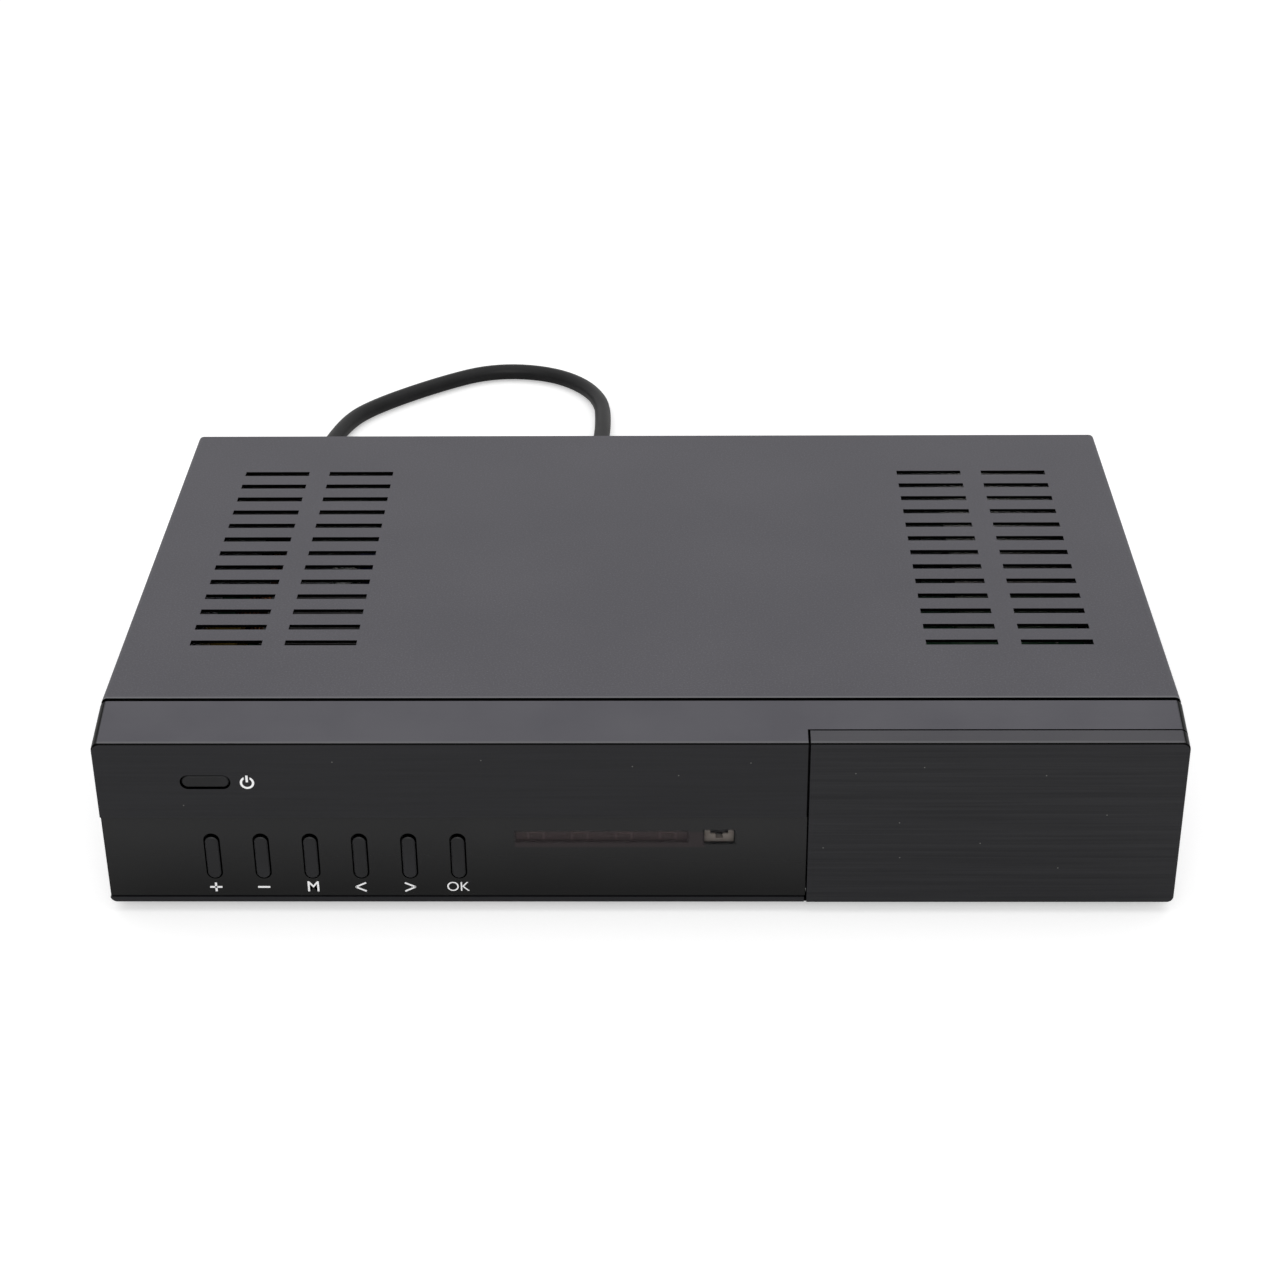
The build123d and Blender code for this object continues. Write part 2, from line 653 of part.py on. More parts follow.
def make_usb():
    """USB socket: a folded shell, open at the front, with its contact tongue at the top."""
    width, height = usb_size
    nose = bay_wall_y - 1.2
    shell = block((usb_x - width / 2, usb_x + width / 2), (nose, nose + 18),
                  (board_top, board_top + height))
    shell -= block((usb_x - width / 2 + 0.4, usb_x + width / 2 - 0.4), (nose - 1, nose + 14),
                   (board_top + 0.4, board_top + height - 0.4))
    tongue = block((usb_x - 5.6, usb_x + 5.6), (nose + 1.2, nose + 15),
                   (board_top + height - 2.2, board_top + height - 0.4))
    return shell + tongue


def make_ribbon():
    """Flat cable from the key board down to the main board."""
    width, thin = 16.0, 0.6
    start_y, end_y = front_board_y + board_thickness, -56.0
    top_z = 24.0
    path = FilletPolyline((-2, start_y, top_z), (-2, end_y, top_z), (-2, end_y, board_top), radius=4)
    section = Plane(origin=path @ 0, x_dir=(1, 0, 0), z_dir=path % 0) * Rectangle(width, thin)
    return sweep(section, path=path)


transformer_x, transformer_y = -87.0, -2.0
core_side, core_base, core_height = 28.0, 2.0, 24.0
window_middles = (-6.5, 6.5)    # the two windows of the core, from its middle
window_width, window_height, window_z = 5.0, 14.0, board_top + 14.0


def core_windows(length):
    """What fills the two windows of the transformer's core along X."""
    window = Rectangle(window_width, window_height)
    half = length / 2
    return [side_shape(Pos(transformer_y + dy, window_z) * window,
                       (transformer_x - half, transformer_x + half)) for dy in window_middles]


def make_transformer():
    """Ferrite core with two windows, standing on the winding's base plate."""
    core = on_board(Rectangle(core_side, core_side), core_height, transformer_x, transformer_y,
                    board_top + core_base)
    for window in core_windows(core_side + 2):
        core -= window
    return core


def make_transformer_winding():
    """Base plate with its pins' rail, and the taped winding through both windows."""
    base = on_board(Rectangle(core_side + 4, core_side + 3), core_base, transformer_x, transformer_y)
    return group([base] + core_windows(core_side + 1))


def make_choke():
    """Wound ring choke, lying flat."""
    thickness, height, ring_radius = 6.4, 7.2, 7.5
    section = chamfer(Rectangle(thickness, height).vertices(), 1.8)
    section = Pos(ring_radius, board_top + height / 2) * section
    return Pos(-106, 38, 0) * revolve(Plane.XZ * section, Axis.Z)


def joined(body, pieces):
    for piece in pieces:
        body += piece
    return body


fuse_x, fuse_z = -88.0, board_top + 5.0
fuse_cap_y, fuse_cap_length, fuse_cap_radius = (37.0, 58.0), 5.0, 2.6


def make_fuse():
    """Glass fuse with a metal cap at each end."""
    glass = rod((fuse_x, 40, fuse_z), (fuse_x, 60, fuse_z), 2.4)
    caps = [rod((fuse_x, y, fuse_z), (fuse_x, y + fuse_cap_length, fuse_z), fuse_cap_radius)
            for y in fuse_cap_y]
    return joined(glass, caps)


def make_fuse_clips():
    """Two U-shaped spring clips that carry the fuse."""
    width, height, clip = 6.8, 8.0, 3.2
    section = Pos(0, height / 2) * Rectangle(width, height)
    section -= Pos(0, fuse_z - board_top) * Circle(fuse_cap_radius)
    section -= Pos(0, height) * Rectangle(4.0, 6)
    return group([front_shape(section, (y + 1.2, y + 1.2 + clip), fuse_x, board_top)
                  for y in fuse_cap_y])


def make_power_capacitors():
    small = [capacitor(x, y, 4.0, height, groove=0)
             for x, y, height in ((-62, -26, 14), (-74, -28, 14), (-86, -28, 12))]
    return group([capacitor(-72, 34, 8.0, 26)] + small)


def make_filter_capacitor():
    box = on_board(Rectangle(10.0, 18.0), 11.0, -117, 17)
    return chamfer(box.edges(), 0.5)


plate_x = (-119.0, -117.4)      # upright plate that cools the power transistor


def make_transistor_plate():
    """Upright aluminium plate with a foot on the board."""
    plate = block(plate_x, (-30, 0), (board_top, board_top + 24))
    foot = block((plate_x[0], -112), (-30, -26), (board_top, board_top + 1.6))
    return plate + foot


def make_transistor():
    """Moulded body and metal tab flat against the plate, on three legs."""
    face, y_range, tab_z = plate_x[1], (-20, -10), board_top + 15
    body = block((face, face + 4.5), y_range, (board_top + 6, tab_z))
    tab = block((face, face + 1.3), y_range, (tab_z, tab_z + 6.5))
    legs = [block((face + 1.9, face + 2.5), (y - 0.4, y + 0.4), (board_top, board_top + 6.5))
            for y in (-17.5, -15.0, -12.5)]
    return joined(body + tab, legs)


def make_harness():
    """Flat bunch of wires that arches from the power board to the main board."""
    y, from_x, to_x, top = -14.0, power_board_x[1] - 2, main_board_x[0] + 3, board_top + 9
    path = FilletPolyline((from_x, y, board_top), (from_x, y, top), (to_x, y, top),
                          (to_x, y, board_top), radius=4)
    section = Plane(origin=path @ 0, x_dir=(0, 1, 0), z_dir=path % 0) * Rectangle(12, 1.4)
    return sweep(section, path=path)


# ---- mains lead ----
boot_end_y = rear_panel_y + 24.0
floor_cord_z = cord_diameter / 2 + 0.1
coil_middle = (15.6, 124.0)
coil_radius = 26.0          # middle of the turns
coil_floor = 1.0            # the tie passes under the coil
coil_width = 3.76 * cord_diameter
coil_height = 2 * cord_diameter + 0.4
coil_outer_turn = coil_radius + (coil_width - cord_diameter) / 2
coil_exit_z = coil_floor + 1.5 * cord_diameter
# the lead leaves the gland, drops to the table, swings out behind the box and
# comes back to the coil, which lies behind the sockets
cord_points = [
    (cord_exit_x, boot_end_y, cord_exit_z),
    (cord_exit_x, boot_end_y + 17, cord_exit_z),
    (cord_exit_x - 0.8, boot_end_y + 44, floor_cord_z + 0.4),
    (cord_exit_x - 0.5, boot_end_y + 66.5, floor_cord_z),
    (-104.0, 191.1, floor_cord_z),
    (-96.8, 205.2, floor_cord_z),
    (-75.6, 224.7, floor_cord_z),
    (-55.4, 237.8, floor_cord_z),
    (-31.9, 233.8, floor_cord_z),
    (-16.8, 214.9, floor_cord_z),
    (-15.4, 188.0, floor_cord_z),
    (-17.6, 161.0, floor_cord_z + 0.2),
    (coil_middle[0] - coil_outer_turn, 136.0, coil_floor + cord_diameter / 2),
]
plug_neck = (60.0, 101.0, 7.0)
plug_heading = 25.0         # degrees from +X towards the rear
plug_run = 14.0             # straight run into the plug
tail_points = [
    (coil_middle[0] + 2.0, coil_middle[1] - coil_outer_turn, coil_exit_z),
    (coil_middle[0] + 18.0, coil_middle[1] - coil_outer_turn + 0.4, coil_exit_z - 0.4),
    (plug_neck[0] - plug_run * math.cos(math.radians(plug_heading)),
     plug_neck[1] - plug_run * math.sin(math.radians(plug_heading)), plug_neck[2]),
    plug_neck,
]


def arc_radii(points):
    """Radius of the arc at each corner: as large as the shorter run beside it allows."""
    radii = []
    for before, here, after in zip(points, points[1:], points[2:]):
        first, second = Vector(*here) - Vector(*before), Vector(*after) - Vector(*here)
        turn = math.radians(first.get_angle(second))
        radii.append(0.45 * min(first.length, second.length) / math.tan(turn / 2))
    return radii


def make_cord_tube(points):
    """A tube along straight runs that tangent arcs join."""
    radii = arc_radii(points)
    path = FilletPolyline(*points, radius=radii)
    start = Plane(origin=points[0], z_dir=path % 0)
    solid = sweep(start * Circle(cord_diameter / 2), path=path)
    area = math.pi * cord_diameter ** 2 / 4
    print("cord radii", [round(radius, 1) for radius in radii])
    print("cord run length", round(path.length, 1), "volume ratio",
          round(solid.volume / (area * path.length), 4))
    return solid


def make_coil():
    """Closed ring of the outer shape of the put-away turns."""
    low, high = coil_floor, coil_floor + coil_height
    section = Rectangle(coil_width, coil_height)
    section = Pos(coil_radius, (low + high) / 2) * chamfer(section.vertices(), 1.6)
    return Pos(*coil_middle, 0) * revolve(Plane.XZ * section, Axis.Z)


def make_cord_tie():
    """Closed band around the coil's turns, on the side away from the box."""
    angle = 62
    play, band = 0.2, 0.6
    inner = Rectangle(coil_width + 2 * play, coil_height + 2 * play)
    outer = RectangleRounded(coil_width + 2 * (play + band), coil_height + 2 * (play + band), 1.2)
    middle_z = coil_floor + coil_height / 2
    plane = Plane(origin=(coil_radius, 0, middle_z), x_dir=(1, 0, 0), z_dir=(0, -1, 0))
    loop = extrude(plane * (outer - inner), 2.0, both=True)
    latch = block((coil_radius - 3, coil_radius + 3), (-2.5, 2.5),
                  (middle_z + coil_height / 2 + play, middle_z + coil_height / 2 + play + 3.2))
    return Pos(*coil_middle, 0) * Rot(0, 0, angle) * (loop + latch)


def make_gland():
    """Moulded strain relief: a grooved bush in the rear panel and a tapered, ribbed boot."""
    x, z = cord_exit_x, cord_exit_z
    inner_y, outer_y = rear_inner_y - 3.0, rear_panel_y + 2.2
    gland = rod((x, inner_y, z), (x, rear_inner_y, z), 6.2)
    gland += rod((x, rear_inner_y - 0.5, z), (x, rear_panel_y + 0.5, z), gland_hole)
    gland += rod((x, rear_panel_y, z), (x, outer_y, z), 6.6)
    gland += rod((x, outer_y - 0.1, z), (x, boot_end_y, z), 5.0, 3.4)
    for index in range(4):
        y = outer_y + 4.0 + index * 4.0
        gland -= tube((x, y, z), (x, y + 1.4, z), 7.0, 4.0 - index * 0.28)
    return gland


def make_inner_lead():
    """The lead's two cores between the gland and the power board, plain and eight-sided."""
    cores = []
    for x in (cord_exit_x - 1.6, cord_exit_x + 1.6):
        start_y = rear_inner_y - 3.0
        end_y = start_y - 9.0
        path = FilletPolyline((x, start_y, cord_exit_z), (x, end_y, cord_exit_z),
                              (x, end_y, board_top), radius=3.0)
        start = Plane(origin=path @ 0, z_dir=path % 0)
        cores.append(sweep(start * RegularPolygon(1.1, 8), path=path))
    return group(cores)


plug_body_length = 34.0
plug_pin_spacing = 18.6
plug_place = Pos(*plug_neck) * Rot(0, 0, plug_heading)


def make_plug():
    """Flat two-pin plug: a body that widens and thickens towards its face."""
    half_width, half_thick = 17.6, 6.85
    plan = outline((0, -3.4), (7, -4.2), (19, -12.0), (plug_body_length, -half_width),
                   (plug_body_length, half_width), (19, 12.0), (7, 4.2), (0, 3.4))
    plan = fillet(plan.vertices().filter_by(lambda v: 5 < v.X < 25), 6.0)
    profile = outline((0, -3.4), (12, -5.6), (plug_body_length, -half_thick),
                      (plug_body_length, half_thick), (12, 5.6), (0, 3.4))
    profile = fillet(profile.vertices().filter_by(lambda v: 5 < v.X < 25), 8.0)
    body = Pos(0, 0, -half_thick) * extrude(plan, 2 * half_thick)
    return plug_place * (body & front_shape(profile, (-25, 25)))


def plug_rods(start_x, end_x, radius):
    ys = (-plug_pin_spacing / 2, plug_pin_spacing / 2)
    return [rod((start_x, y, 0), (end_x, y, 0), radius) for y in ys]


def make_plug_sleeves():
    sleeves = plug_rods(plug_body_length, plug_body_length + 10, 1.9)
    return group([plug_place * sleeve for sleeve in sleeves])


def make_plug_pins():
    pins = plug_rods(plug_body_length + 10, plug_body_length + 19, 2.0)
    tipped = [chamfer(pin.faces().sort_by(Axis.X)[-1].edges(), 0.9) for pin in pins]
    return group([plug_place * pin for pin in tipped])


# ---- write every piece ----
save("chassis_tray", make_tray())
save("top_cover", make_cover())
save("front_panel", make_front_panel())
save("smoked_strip", make_strip())
save("flap", make_flap())
save("flap_hinge_pins", make_hinge_pins())

save("power_key", make_key(power_hole, power_x, power_z, front_y + power_recess, upper_wall_y))
for number, name in enumerate(key_names):
    key_face_y = strip_face_y - key_proud
    save(name, make_key(key_hole, key_x(number), key_z, key_face_y, strip_wall_y, key_drop))
switch_places = [(power_x, power_z)] + [(key_x(number), key_z) for number in range(len(key_names))]
save("tact_switches", group([make_switch(x, z) for x, z in switch_places]))

save("front_board", make_front_board())
save("led_display", make_display())
save("sensor_shield", make_sensor_shield())
save("infrared_sensor", make_sensor())
save("ribbon_cable", make_ribbon())

save("main_board", make_main_board())
save("power_board", make_board(power_board_x, power_board_y, standoff_places[4:]))
save("board_standoffs", make_standoffs())
save("decoder_chip", make_chip())
save("heatsink", make_heatsink())
save("memory_chips", make_memory())
save("crystals", make_crystals())
save("board_capacitors", make_board_capacitors())
save("tuner_can", make_tuner())
save("aerial_in", make_aerial_socket(aerial_x["in"], False))
save("aerial_out", make_aerial_socket(aerial_x["out"], True))
save("socket_contacts", make_socket_contacts())
av_places = [rca_x["video"], rca_x["left"], rca_x["right"]]
save("av_jack_block", make_rca_block(av_places))
save("digital_jack_block", make_rca_block([rca_x["digital"]]))
save("jack_shells", make_rca_shells(rca_x.values()))
save("hdmi_socket", make_hdmi())
save("usb_socket", make_usb())

save("transformer_core", make_transformer())
save("transformer_winding", make_transformer_winding())
save("line_choke", make_choke())
save("fuse", make_fuse())
save("fuse_clips", make_fuse_clips())
save("power_capacitors", make_power_capacitors())
save("filter_capacitor", make_filter_capacitor())
save("transistor_heatsink", make_transistor_plate())
save("power_transistor", make_transistor())
save("power_harness", make_harness())
save("inner_lead", make_inner_lead())

save("feet", make_feet())
save("cover_screws", make_cover_screws())
save("small_screws", make_small_screws())

save("strain_relief", make_gland())
save("mains_cord", group([make_cord_tube(cord_points), make_cord_tube(tail_points)]))
save("cord_coil", make_coil())
print("cord length in the coil", round(coil_turns * 2 * math.pi * coil_radius, 1))
save("cord_tie", make_cord_tie())
save("mains_plug", make_plug())
save("plug_sleeves", make_plug_sleeves())
save("plug_pins", make_plug_pins())
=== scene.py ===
import math
import bpy
from mathutils import Matrix, Vector


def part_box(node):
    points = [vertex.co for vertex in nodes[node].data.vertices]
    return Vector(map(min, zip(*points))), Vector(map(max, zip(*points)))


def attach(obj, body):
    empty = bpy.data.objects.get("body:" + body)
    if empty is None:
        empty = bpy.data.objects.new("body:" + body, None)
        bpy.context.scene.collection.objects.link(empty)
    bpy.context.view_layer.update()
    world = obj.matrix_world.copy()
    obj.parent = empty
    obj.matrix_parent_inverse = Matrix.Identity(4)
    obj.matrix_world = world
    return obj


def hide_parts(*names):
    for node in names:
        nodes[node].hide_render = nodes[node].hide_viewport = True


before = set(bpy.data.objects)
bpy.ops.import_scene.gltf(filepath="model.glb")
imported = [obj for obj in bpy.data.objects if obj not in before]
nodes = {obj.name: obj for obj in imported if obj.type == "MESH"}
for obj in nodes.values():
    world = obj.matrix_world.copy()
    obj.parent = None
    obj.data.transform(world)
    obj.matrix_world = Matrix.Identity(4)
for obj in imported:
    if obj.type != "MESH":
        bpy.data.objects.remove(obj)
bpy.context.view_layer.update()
mm = 0.001


camera = {
    "place": (8.416, -597.298, 370.83),   # mm
    "turn": 0.891,                        # degrees, to the left
    "tilt": 60.173,                       # degrees, 90 would be level
    "roll": -0.513,
    "lens": 71.795,
    "sensor": 36.0,
    "clip": (0.02, 20.0),                 # metres
}


def makeCamera(c):
    data = bpy.data.cameras.new("camera")
    data.lens = c["lens"]
    data.sensor_width = c["sensor"]
    data.clip_start, data.clip_end = c["clip"]
    body = bpy.data.objects.new("camera", data)
    bpy.context.scene.collection.objects.link(body)
    turned = Matrix.Rotation(math.radians(c["turn"]), 4, "Z")
    tilted = Matrix.Rotation(math.radians(c["tilt"]), 4, "X")
    rolled = Matrix.Rotation(math.radians(c["roll"]), 4, "Z")
    body.matrix_world = Matrix.Translation(Vector(c["place"]) * mm) @ turned @ tilted @ rolled
    bpy.context.scene.camera = body


makeCamera(camera)
print("camera is set")


def clearSelection():
    if bpy.context.object and bpy.context.object.mode != "OBJECT":
        bpy.ops.object.mode_set(mode="OBJECT")
    bpy.ops.object.select_all(action="DESELECT")


def pickOnly(piece):
    clearSelection()
    piece.select_set(True)
    bpy.context.view_layer.objects.active = piece


# puts the piece's place into its mesh, so that its object is at the origin
def settle(piece):
    pickOnly(piece)
    bpy.ops.object.transform_apply(location=True, rotation=True, scale=True)
    return piece


def asMesh(piece):
    pickOnly(piece)
    bpy.ops.object.convert(target="MESH")
    return bpy.context.object


# the lead and its coil, in mm
lead = {
    "diameter": 5.4,
    "exit": (-108.0, 100.2, 16.0),
    "length": 1200.0,
    "coilMiddle": (15.6, 124.0),
    "outerTurn": 33.45,        # radius of the outermost turn
    "turns": 5.25,
    "lowerTurns": 2.6,         # turns of the lower layer, wound inwards
    "climbHalf": 0.3,          # half of the climb to the upper layer, in turns
    "lowZ": 3.7,
    "highZ": 9.1,
    "pointsPerTurn": 16,
    "curveOrder": 3,
    "stepsAlong": 8,           # between two points
    "stepsRound": 5,           # on a quarter of the outline
}
leadRoute = [
    (-108.0, 100.2, 16.0), (-108.0, 117.2, 16.0), (-108.8, 144.2, 3.2), (-108.5, 166.7, 2.8),
    (-104.0, 191.1, 2.8), (-96.8, 205.2, 2.8), (-75.6, 224.7, 2.8), (-55.4, 237.8, 2.8),
    (-31.9, 233.8, 2.8), (-16.8, 214.9, 2.8), (-15.4, 188.0, 2.8), (-17.6, 161.0, 3.0),
    (-17.85, 136.0, 3.7),
]
tailRoute = [(17.6, 90.55, 9.1), (33.6, 90.95, 8.7), (47.31, 95.08, 7.0), (60.0, 101.0, 7.0)]


# turns wound inwards on the table, then outwards on top of them
def coilRoute(c):
    step = 1 / c["pointsPerTurn"]
    spread = 1 / math.cos(math.pi * step)      # the line runs inside its points
    climbFrom, climbTo = c["lowerTurns"] - c["climbHalf"], c["lowerTurns"] + c["climbHalf"]
    inner = c["outerTurn"] - c["diameter"] * c["lowerTurns"]
    outwards = (c["outerTurn"] - inner) / (c["turns"] - c["lowerTurns"])
    points = []
    for index in range(round(c["turns"] / step) + 1):
        turn = index * step
        if turn < c["lowerTurns"]:
            radius = c["outerTurn"] - c["diameter"] * turn
        else:
            radius = inner + outwards * (turn - c["lowerTurns"])
        share = min(max((turn - climbFrom) / (climbTo - climbFrom), 0), 1)
        eased = share * share * (3 - 2 * share)
        height = c["lowZ"] + (c["highZ"] - c["lowZ"]) * eased
        angle = math.pi + 2 * math.pi * turn
        points.append((c["coilMiddle"][0] + spread * radius * math.cos(angle),
                       c["coilMiddle"][1] + spread * radius * math.sin(angle), height))
    return points


def makeLead(c):
    data = bpy.data.curves.new("mainsLead", "CURVE")
    data.dimensions = "3D"
    spline = data.splines.new("NURBS")
    points = leadRoute + coilRoute(c) + tailRoute
    spline.points.add(len(points) - 1)
    for point, place in zip(spline.points, points):
        point.co = (*(Vector(place) * mm), 1)
        point.radius = c["diameter"] / 2 * mm      # the bevel below is 1 deep
    spline.order_u = c["curveOrder"]
    spline.use_endpoint_u = True
    spline.resolution_u = c["stepsAlong"]
    data.bevel_depth = 1.0
    data.bevel_resolution = c["stepsRound"]
    data.use_fill_caps = True
    piece = bpy.data.objects.new("mainsLead", data)
    bpy.context.scene.collection.objects.link(piece)
    return piece


mainsLead = makeLead(lead)
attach(mainsLead, "case")
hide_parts("mains_cord", "cord_coil")
print("mains lead is laid")


# a material with its Principled shader, its node tree and the piece's own coordinates
def startMaterial(name):
    material = bpy.data.materials.new(name)
    material.use_nodes = True
    tree = material.node_tree
    shader = next(node for node in tree.nodes if node.type == "BSDF_PRINCIPLED")
    place = tree.nodes.new("ShaderNodeTexCoord")
    return material, tree, shader, place.outputs["Object"]


# coordinates for a pattern that is longer in one direction than in the others
def stretched(tree, place, scale):
    node = tree.nodes.new("ShaderNodeMapping")
    node.inputs["Scale"].default_value = scale
    tree.links.new(place, node.inputs["Vector"])
    return node.outputs["Vector"]


def noise(tree, place, perMetre, detail=2.0, roughness=0.5):
    node = tree.nodes.new("ShaderNodeTexNoise")
    node.inputs["Scale"].default_value = perMetre
    node.inputs["Detail"].default_value = detail
    node.inputs["Roughness"].default_value = roughness
    tree.links.new(place, node.inputs["Vector"])
    return node.outputs["Fac"]


def inMetres(lengths, start=0.0):
    return [start + length * mm for length in lengths]


# the value moved from one range to another, and held at the ends
def ranged(tree, value, fromRange, toRange=(0.0, 1.0)):
    node = tree.nodes.new("ShaderNodeMapRange")
    node.inputs["From Min"].default_value, node.inputs["From Max"].default_value = fromRange
    node.inputs["To Min"].default_value, node.inputs["To Max"].default_value = toRange
    tree.links.new(value, node.inputs["Value"])
    return node.outputs["Result"]


# a colour between the tones, picked by the value
def toned(tree, value, tones, stops=(0.35, 0.65)):
    node = tree.nodes.new("ShaderNodeValToRGB")
    for element, stop, tone in zip(node.color_ramp.elements, stops, tones):
        element.position = stop
        element.color = (*tone, 1)
    tree.links.new(value, node.inputs["Fac"])
    return node.outputs["Color"]


def blended(tree, share, first, second, way="MIX"):
    node = tree.nodes.new("ShaderNodeMix")
    node.data_type = "RGBA"
    node.blend_type = way
    for socket, value in (("Factor_Float", share), ("A_Color", first), ("B_Color", second)):
        target = next(item for item in node.inputs if item.identifier == socket)
        if isinstance(value, (float, int)):
            target.default_value = value
        elif isinstance(value, tuple):
            target.default_value = (*value, 1)
        else:
            tree.links.new(value, target)
    return next(item for item in node.outputs if item.identifier == "Result_Color")


# relief of the surface, its depth in mm
def bumped(tree, shader, value, depth, share):
    node = tree.nodes.new("ShaderNodeBump")
    node.inputs["Strength"].default_value = share
    node.inputs["Distance"].default_value = depth * mm
    tree.links.new(value, node.inputs["Height"])
    tree.links.new(node.outputs["Normal"], shader.inputs["Normal"])


# roughness that follows the value between its two limits
def unevenGloss(tree, shader, value, limits, span=(0.3, 0.7)):
    tree.links.new(ranged(tree, value, span, limits), shader.inputs["Roughness"])


# the three parts of a place or a normal
def split(tree, vector):
    parts = tree.nodes.new("ShaderNodeSeparateXYZ")
    tree.links.new(vector, parts.inputs["Vector"])
    return parts.outputs


def facing(tree):
    geometry = tree.nodes.new("ShaderNodeNewGeometry")
    return split(tree, geometry.outputs["True Normal"])


def combined(tree, operation, shares):
    result = shares[0]
    for share in shares[1:]:
        node = tree.nodes.new("ShaderNodeMath")
        node.operation = operation
        tree.links.new(result, node.inputs[0])
        tree.links.new(share, node.inputs[1])
        result = node.outputs[0]
    return result


def multiplied(tree, *shares):
    return combined(tree, "MULTIPLY", shares)


def anyOf(tree, *shares):
    return combined(tree, "MAXIMUM", shares)


# 1 between two values with soft ends, 0 outside them
def between(tree, value, low, high, soft):
    return multiplied(tree, ranged(tree, value, (low - soft, low)),
                      ranged(tree, value, (high, high + soft), (1.0, 0.0)))


# 1 on faces that do not look along the normal's axis
def sideways(tree, normalPart, limit, soft=0.05):
    return between(tree, normalPart, -limit, limit, soft)


# 1 inside a rectangle of the front, 0 outside it, in mm
def windowShare(tree, spot, window, soft=0.2):
    across, upright = (inMetres(span) for span in window)
    return multiplied(tree, between(tree, spot["X"], *across, soft * mm),
                      between(tree, spot["Z"], *upright, soft * mm))


# painted shade: black without any gloss where the share is 1, standing in for the shade in gaps,
# slots and holes
def paintShadeBlack(tree, shader, share, colour, black=(0.003, 0.003, 0.003)):
    tree.links.new(blended(tree, share, colour, black), shader.inputs["Base Color"])
    tree.links.new(share, shader.inputs["Metallic"])


# fine light and dark grain over a colour
def speckled(tree, grain, share, colour):
    speck = toned(tree, grain, ((0, 0, 0), (1, 1, 1)), stops=(0.5, 0.75))
    return blended(tree, share, colour, speck, "OVERLAY")


# what a plain finish has where its own settings say nothing else
plain = {
    "mottlePerMetre": 60,
    "grainPerMetre": 2400,
    "grainDepth": 0.01,        # mm
    "metallic": 0.0,
    "specular": 0.5,
}


# a moulded, painted or metal finish: soft mottling, a fine grain and uneven gloss
def plainFinish(name, settings):
    s = {**plain, **settings}
    material, tree, shader, place = startMaterial(name)
    mottle = noise(tree, place, s["mottlePerMetre"], detail=3)
    grain = noise(tree, place, s["grainPerMetre"], detail=2, roughness=0.6)
    tree.links.new(toned(tree, mottle, s["tones"]), shader.inputs["Base Color"])
    unevenGloss(tree, shader, mottle, s["roughness"])
    bumped(tree, shader, grain, s["grainDepth"], share=0.5)
    shader.inputs["Metallic"].default_value = s["metallic"]
    shader.inputs["Specular IOR Level"].default_value = s["specular"]
    return material


# zinc-coated sheet with faint spangle and a fine rolled grain
def zincSheet(name, s):
    material, tree, shader, place = startMaterial(name)
    spangle = tree.nodes.new("ShaderNodeTexVoronoi")
    spangle.inputs["Scale"].default_value = s["spanglePerMetre"]
    tree.links.new(place, spangle.inputs["Vector"])
    crystal = tree.nodes.new("ShaderNodeRGBToBW")
    tree.links.new(spangle.outputs["Color"], crystal.inputs["Color"])
    rolled = noise(tree, stretched(tree, place, s["rollStretch"]), s["rollPerMetre"],
                   detail=2, roughness=0.6)
    tone = toned(tree, crystal.outputs["Val"], s["tones"], s["spangleSpan"])
    tree.links.new(blended(tree, s["rollShare"], tone, rolled, "OVERLAY"),
                   shader.inputs["Base Color"])
    unevenGloss(tree, shader, crystal.outputs["Val"], s["roughness"], s["spangleSpan"])
    bumped(tree, shader, rolled, s["rollDepth"], share=0.4)
    shader.inputs["Metallic"].default_value = s["metallic"]
    return material


# jack mouldings: black bodies whose collars behind the sheet have their signal's colour
def jackBlock(name, s):
    material, tree, shader, place = startMaterial(name)
    grain = noise(tree, place, s["grainPerMetre"], detail=2)
    spot = split(tree, place)
    outside = ranged(tree, spot["Y"], inMetres(s["collarFrom"]))
    colour = toned(tree, grain, s["tones"])
    for x, signal in s["collars"].items():
        ends = inMetres((x - s["collarHalf"], x + s["collarHalf"]))
        near = between(tree, spot["X"], *ends, s["collarSoft"] * mm)
        colour = blended(tree, multiplied(tree, near, outside), colour, signal)
    tree.links.new(colour, shader.inputs["Base Color"])
    unevenGloss(tree, shader, grain, s["roughness"])
    return material


# painted sheet, with painted shade: black in its slots and on its front cut edge; and a painted
# highlight: paler along that edge's top
def ventedPaint(name, s):
    material, tree, shader, place = startMaterial(name)
    mottle = noise(tree, place, s["mottlePerMetre"], detail=3)
    grain = noise(tree, place, s["grainPerMetre"], detail=2, roughness=0.6)
    paint = speckled(tree, grain, s["speck"], toned(tree, mottle, s["tones"]))
    spot, normal = split(tree, place), facing(tree)
    frontY, rearY = (corner.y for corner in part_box("top_cover"))
    # painted highlight: a paler band along the top of the front edge
    rim = ranged(tree, spot["Y"], inMetres(s["rim"], frontY))
    litRimShare = multiplied(tree, rim, ranged(tree, normal["Z"], s["upwards"]))
    paint = blended(tree, litRimShare, paint, s["rimHighlightTone"])
    # painted shade: slot walls and the front cut edge black and without gloss
    level = ranged(tree, normal["Z"], s["level"])
    high = ranged(tree, spot["Z"], inMetres(s["cutAbove"]))
    fromMiddle = tree.nodes.new("ShaderNodeMath")
    fromMiddle.operation = "ABSOLUTE"
    tree.links.new(spot["X"], fromMiddle.inputs[0])
    inside = anyOf(tree, sideways(tree, normal["X"], limit=0.5),
                   ranged(tree, fromMiddle.outputs[0], inMetres(s["cutWithin"])))
    ahead = ranged(tree, spot["Y"], inMetres(s["flange"], rearY))
    paintShadeBlack(tree, shader, multiplied(tree, level, high, inside, ahead), paint)
    unevenGloss(tree, shader, mottle, s["roughness"])
    bumped(tree, shader, grain, s["grainDepth"], s["grainShare"])
    shader.inputs["Specular IOR Level"].default_value = s["specular"]
    return material


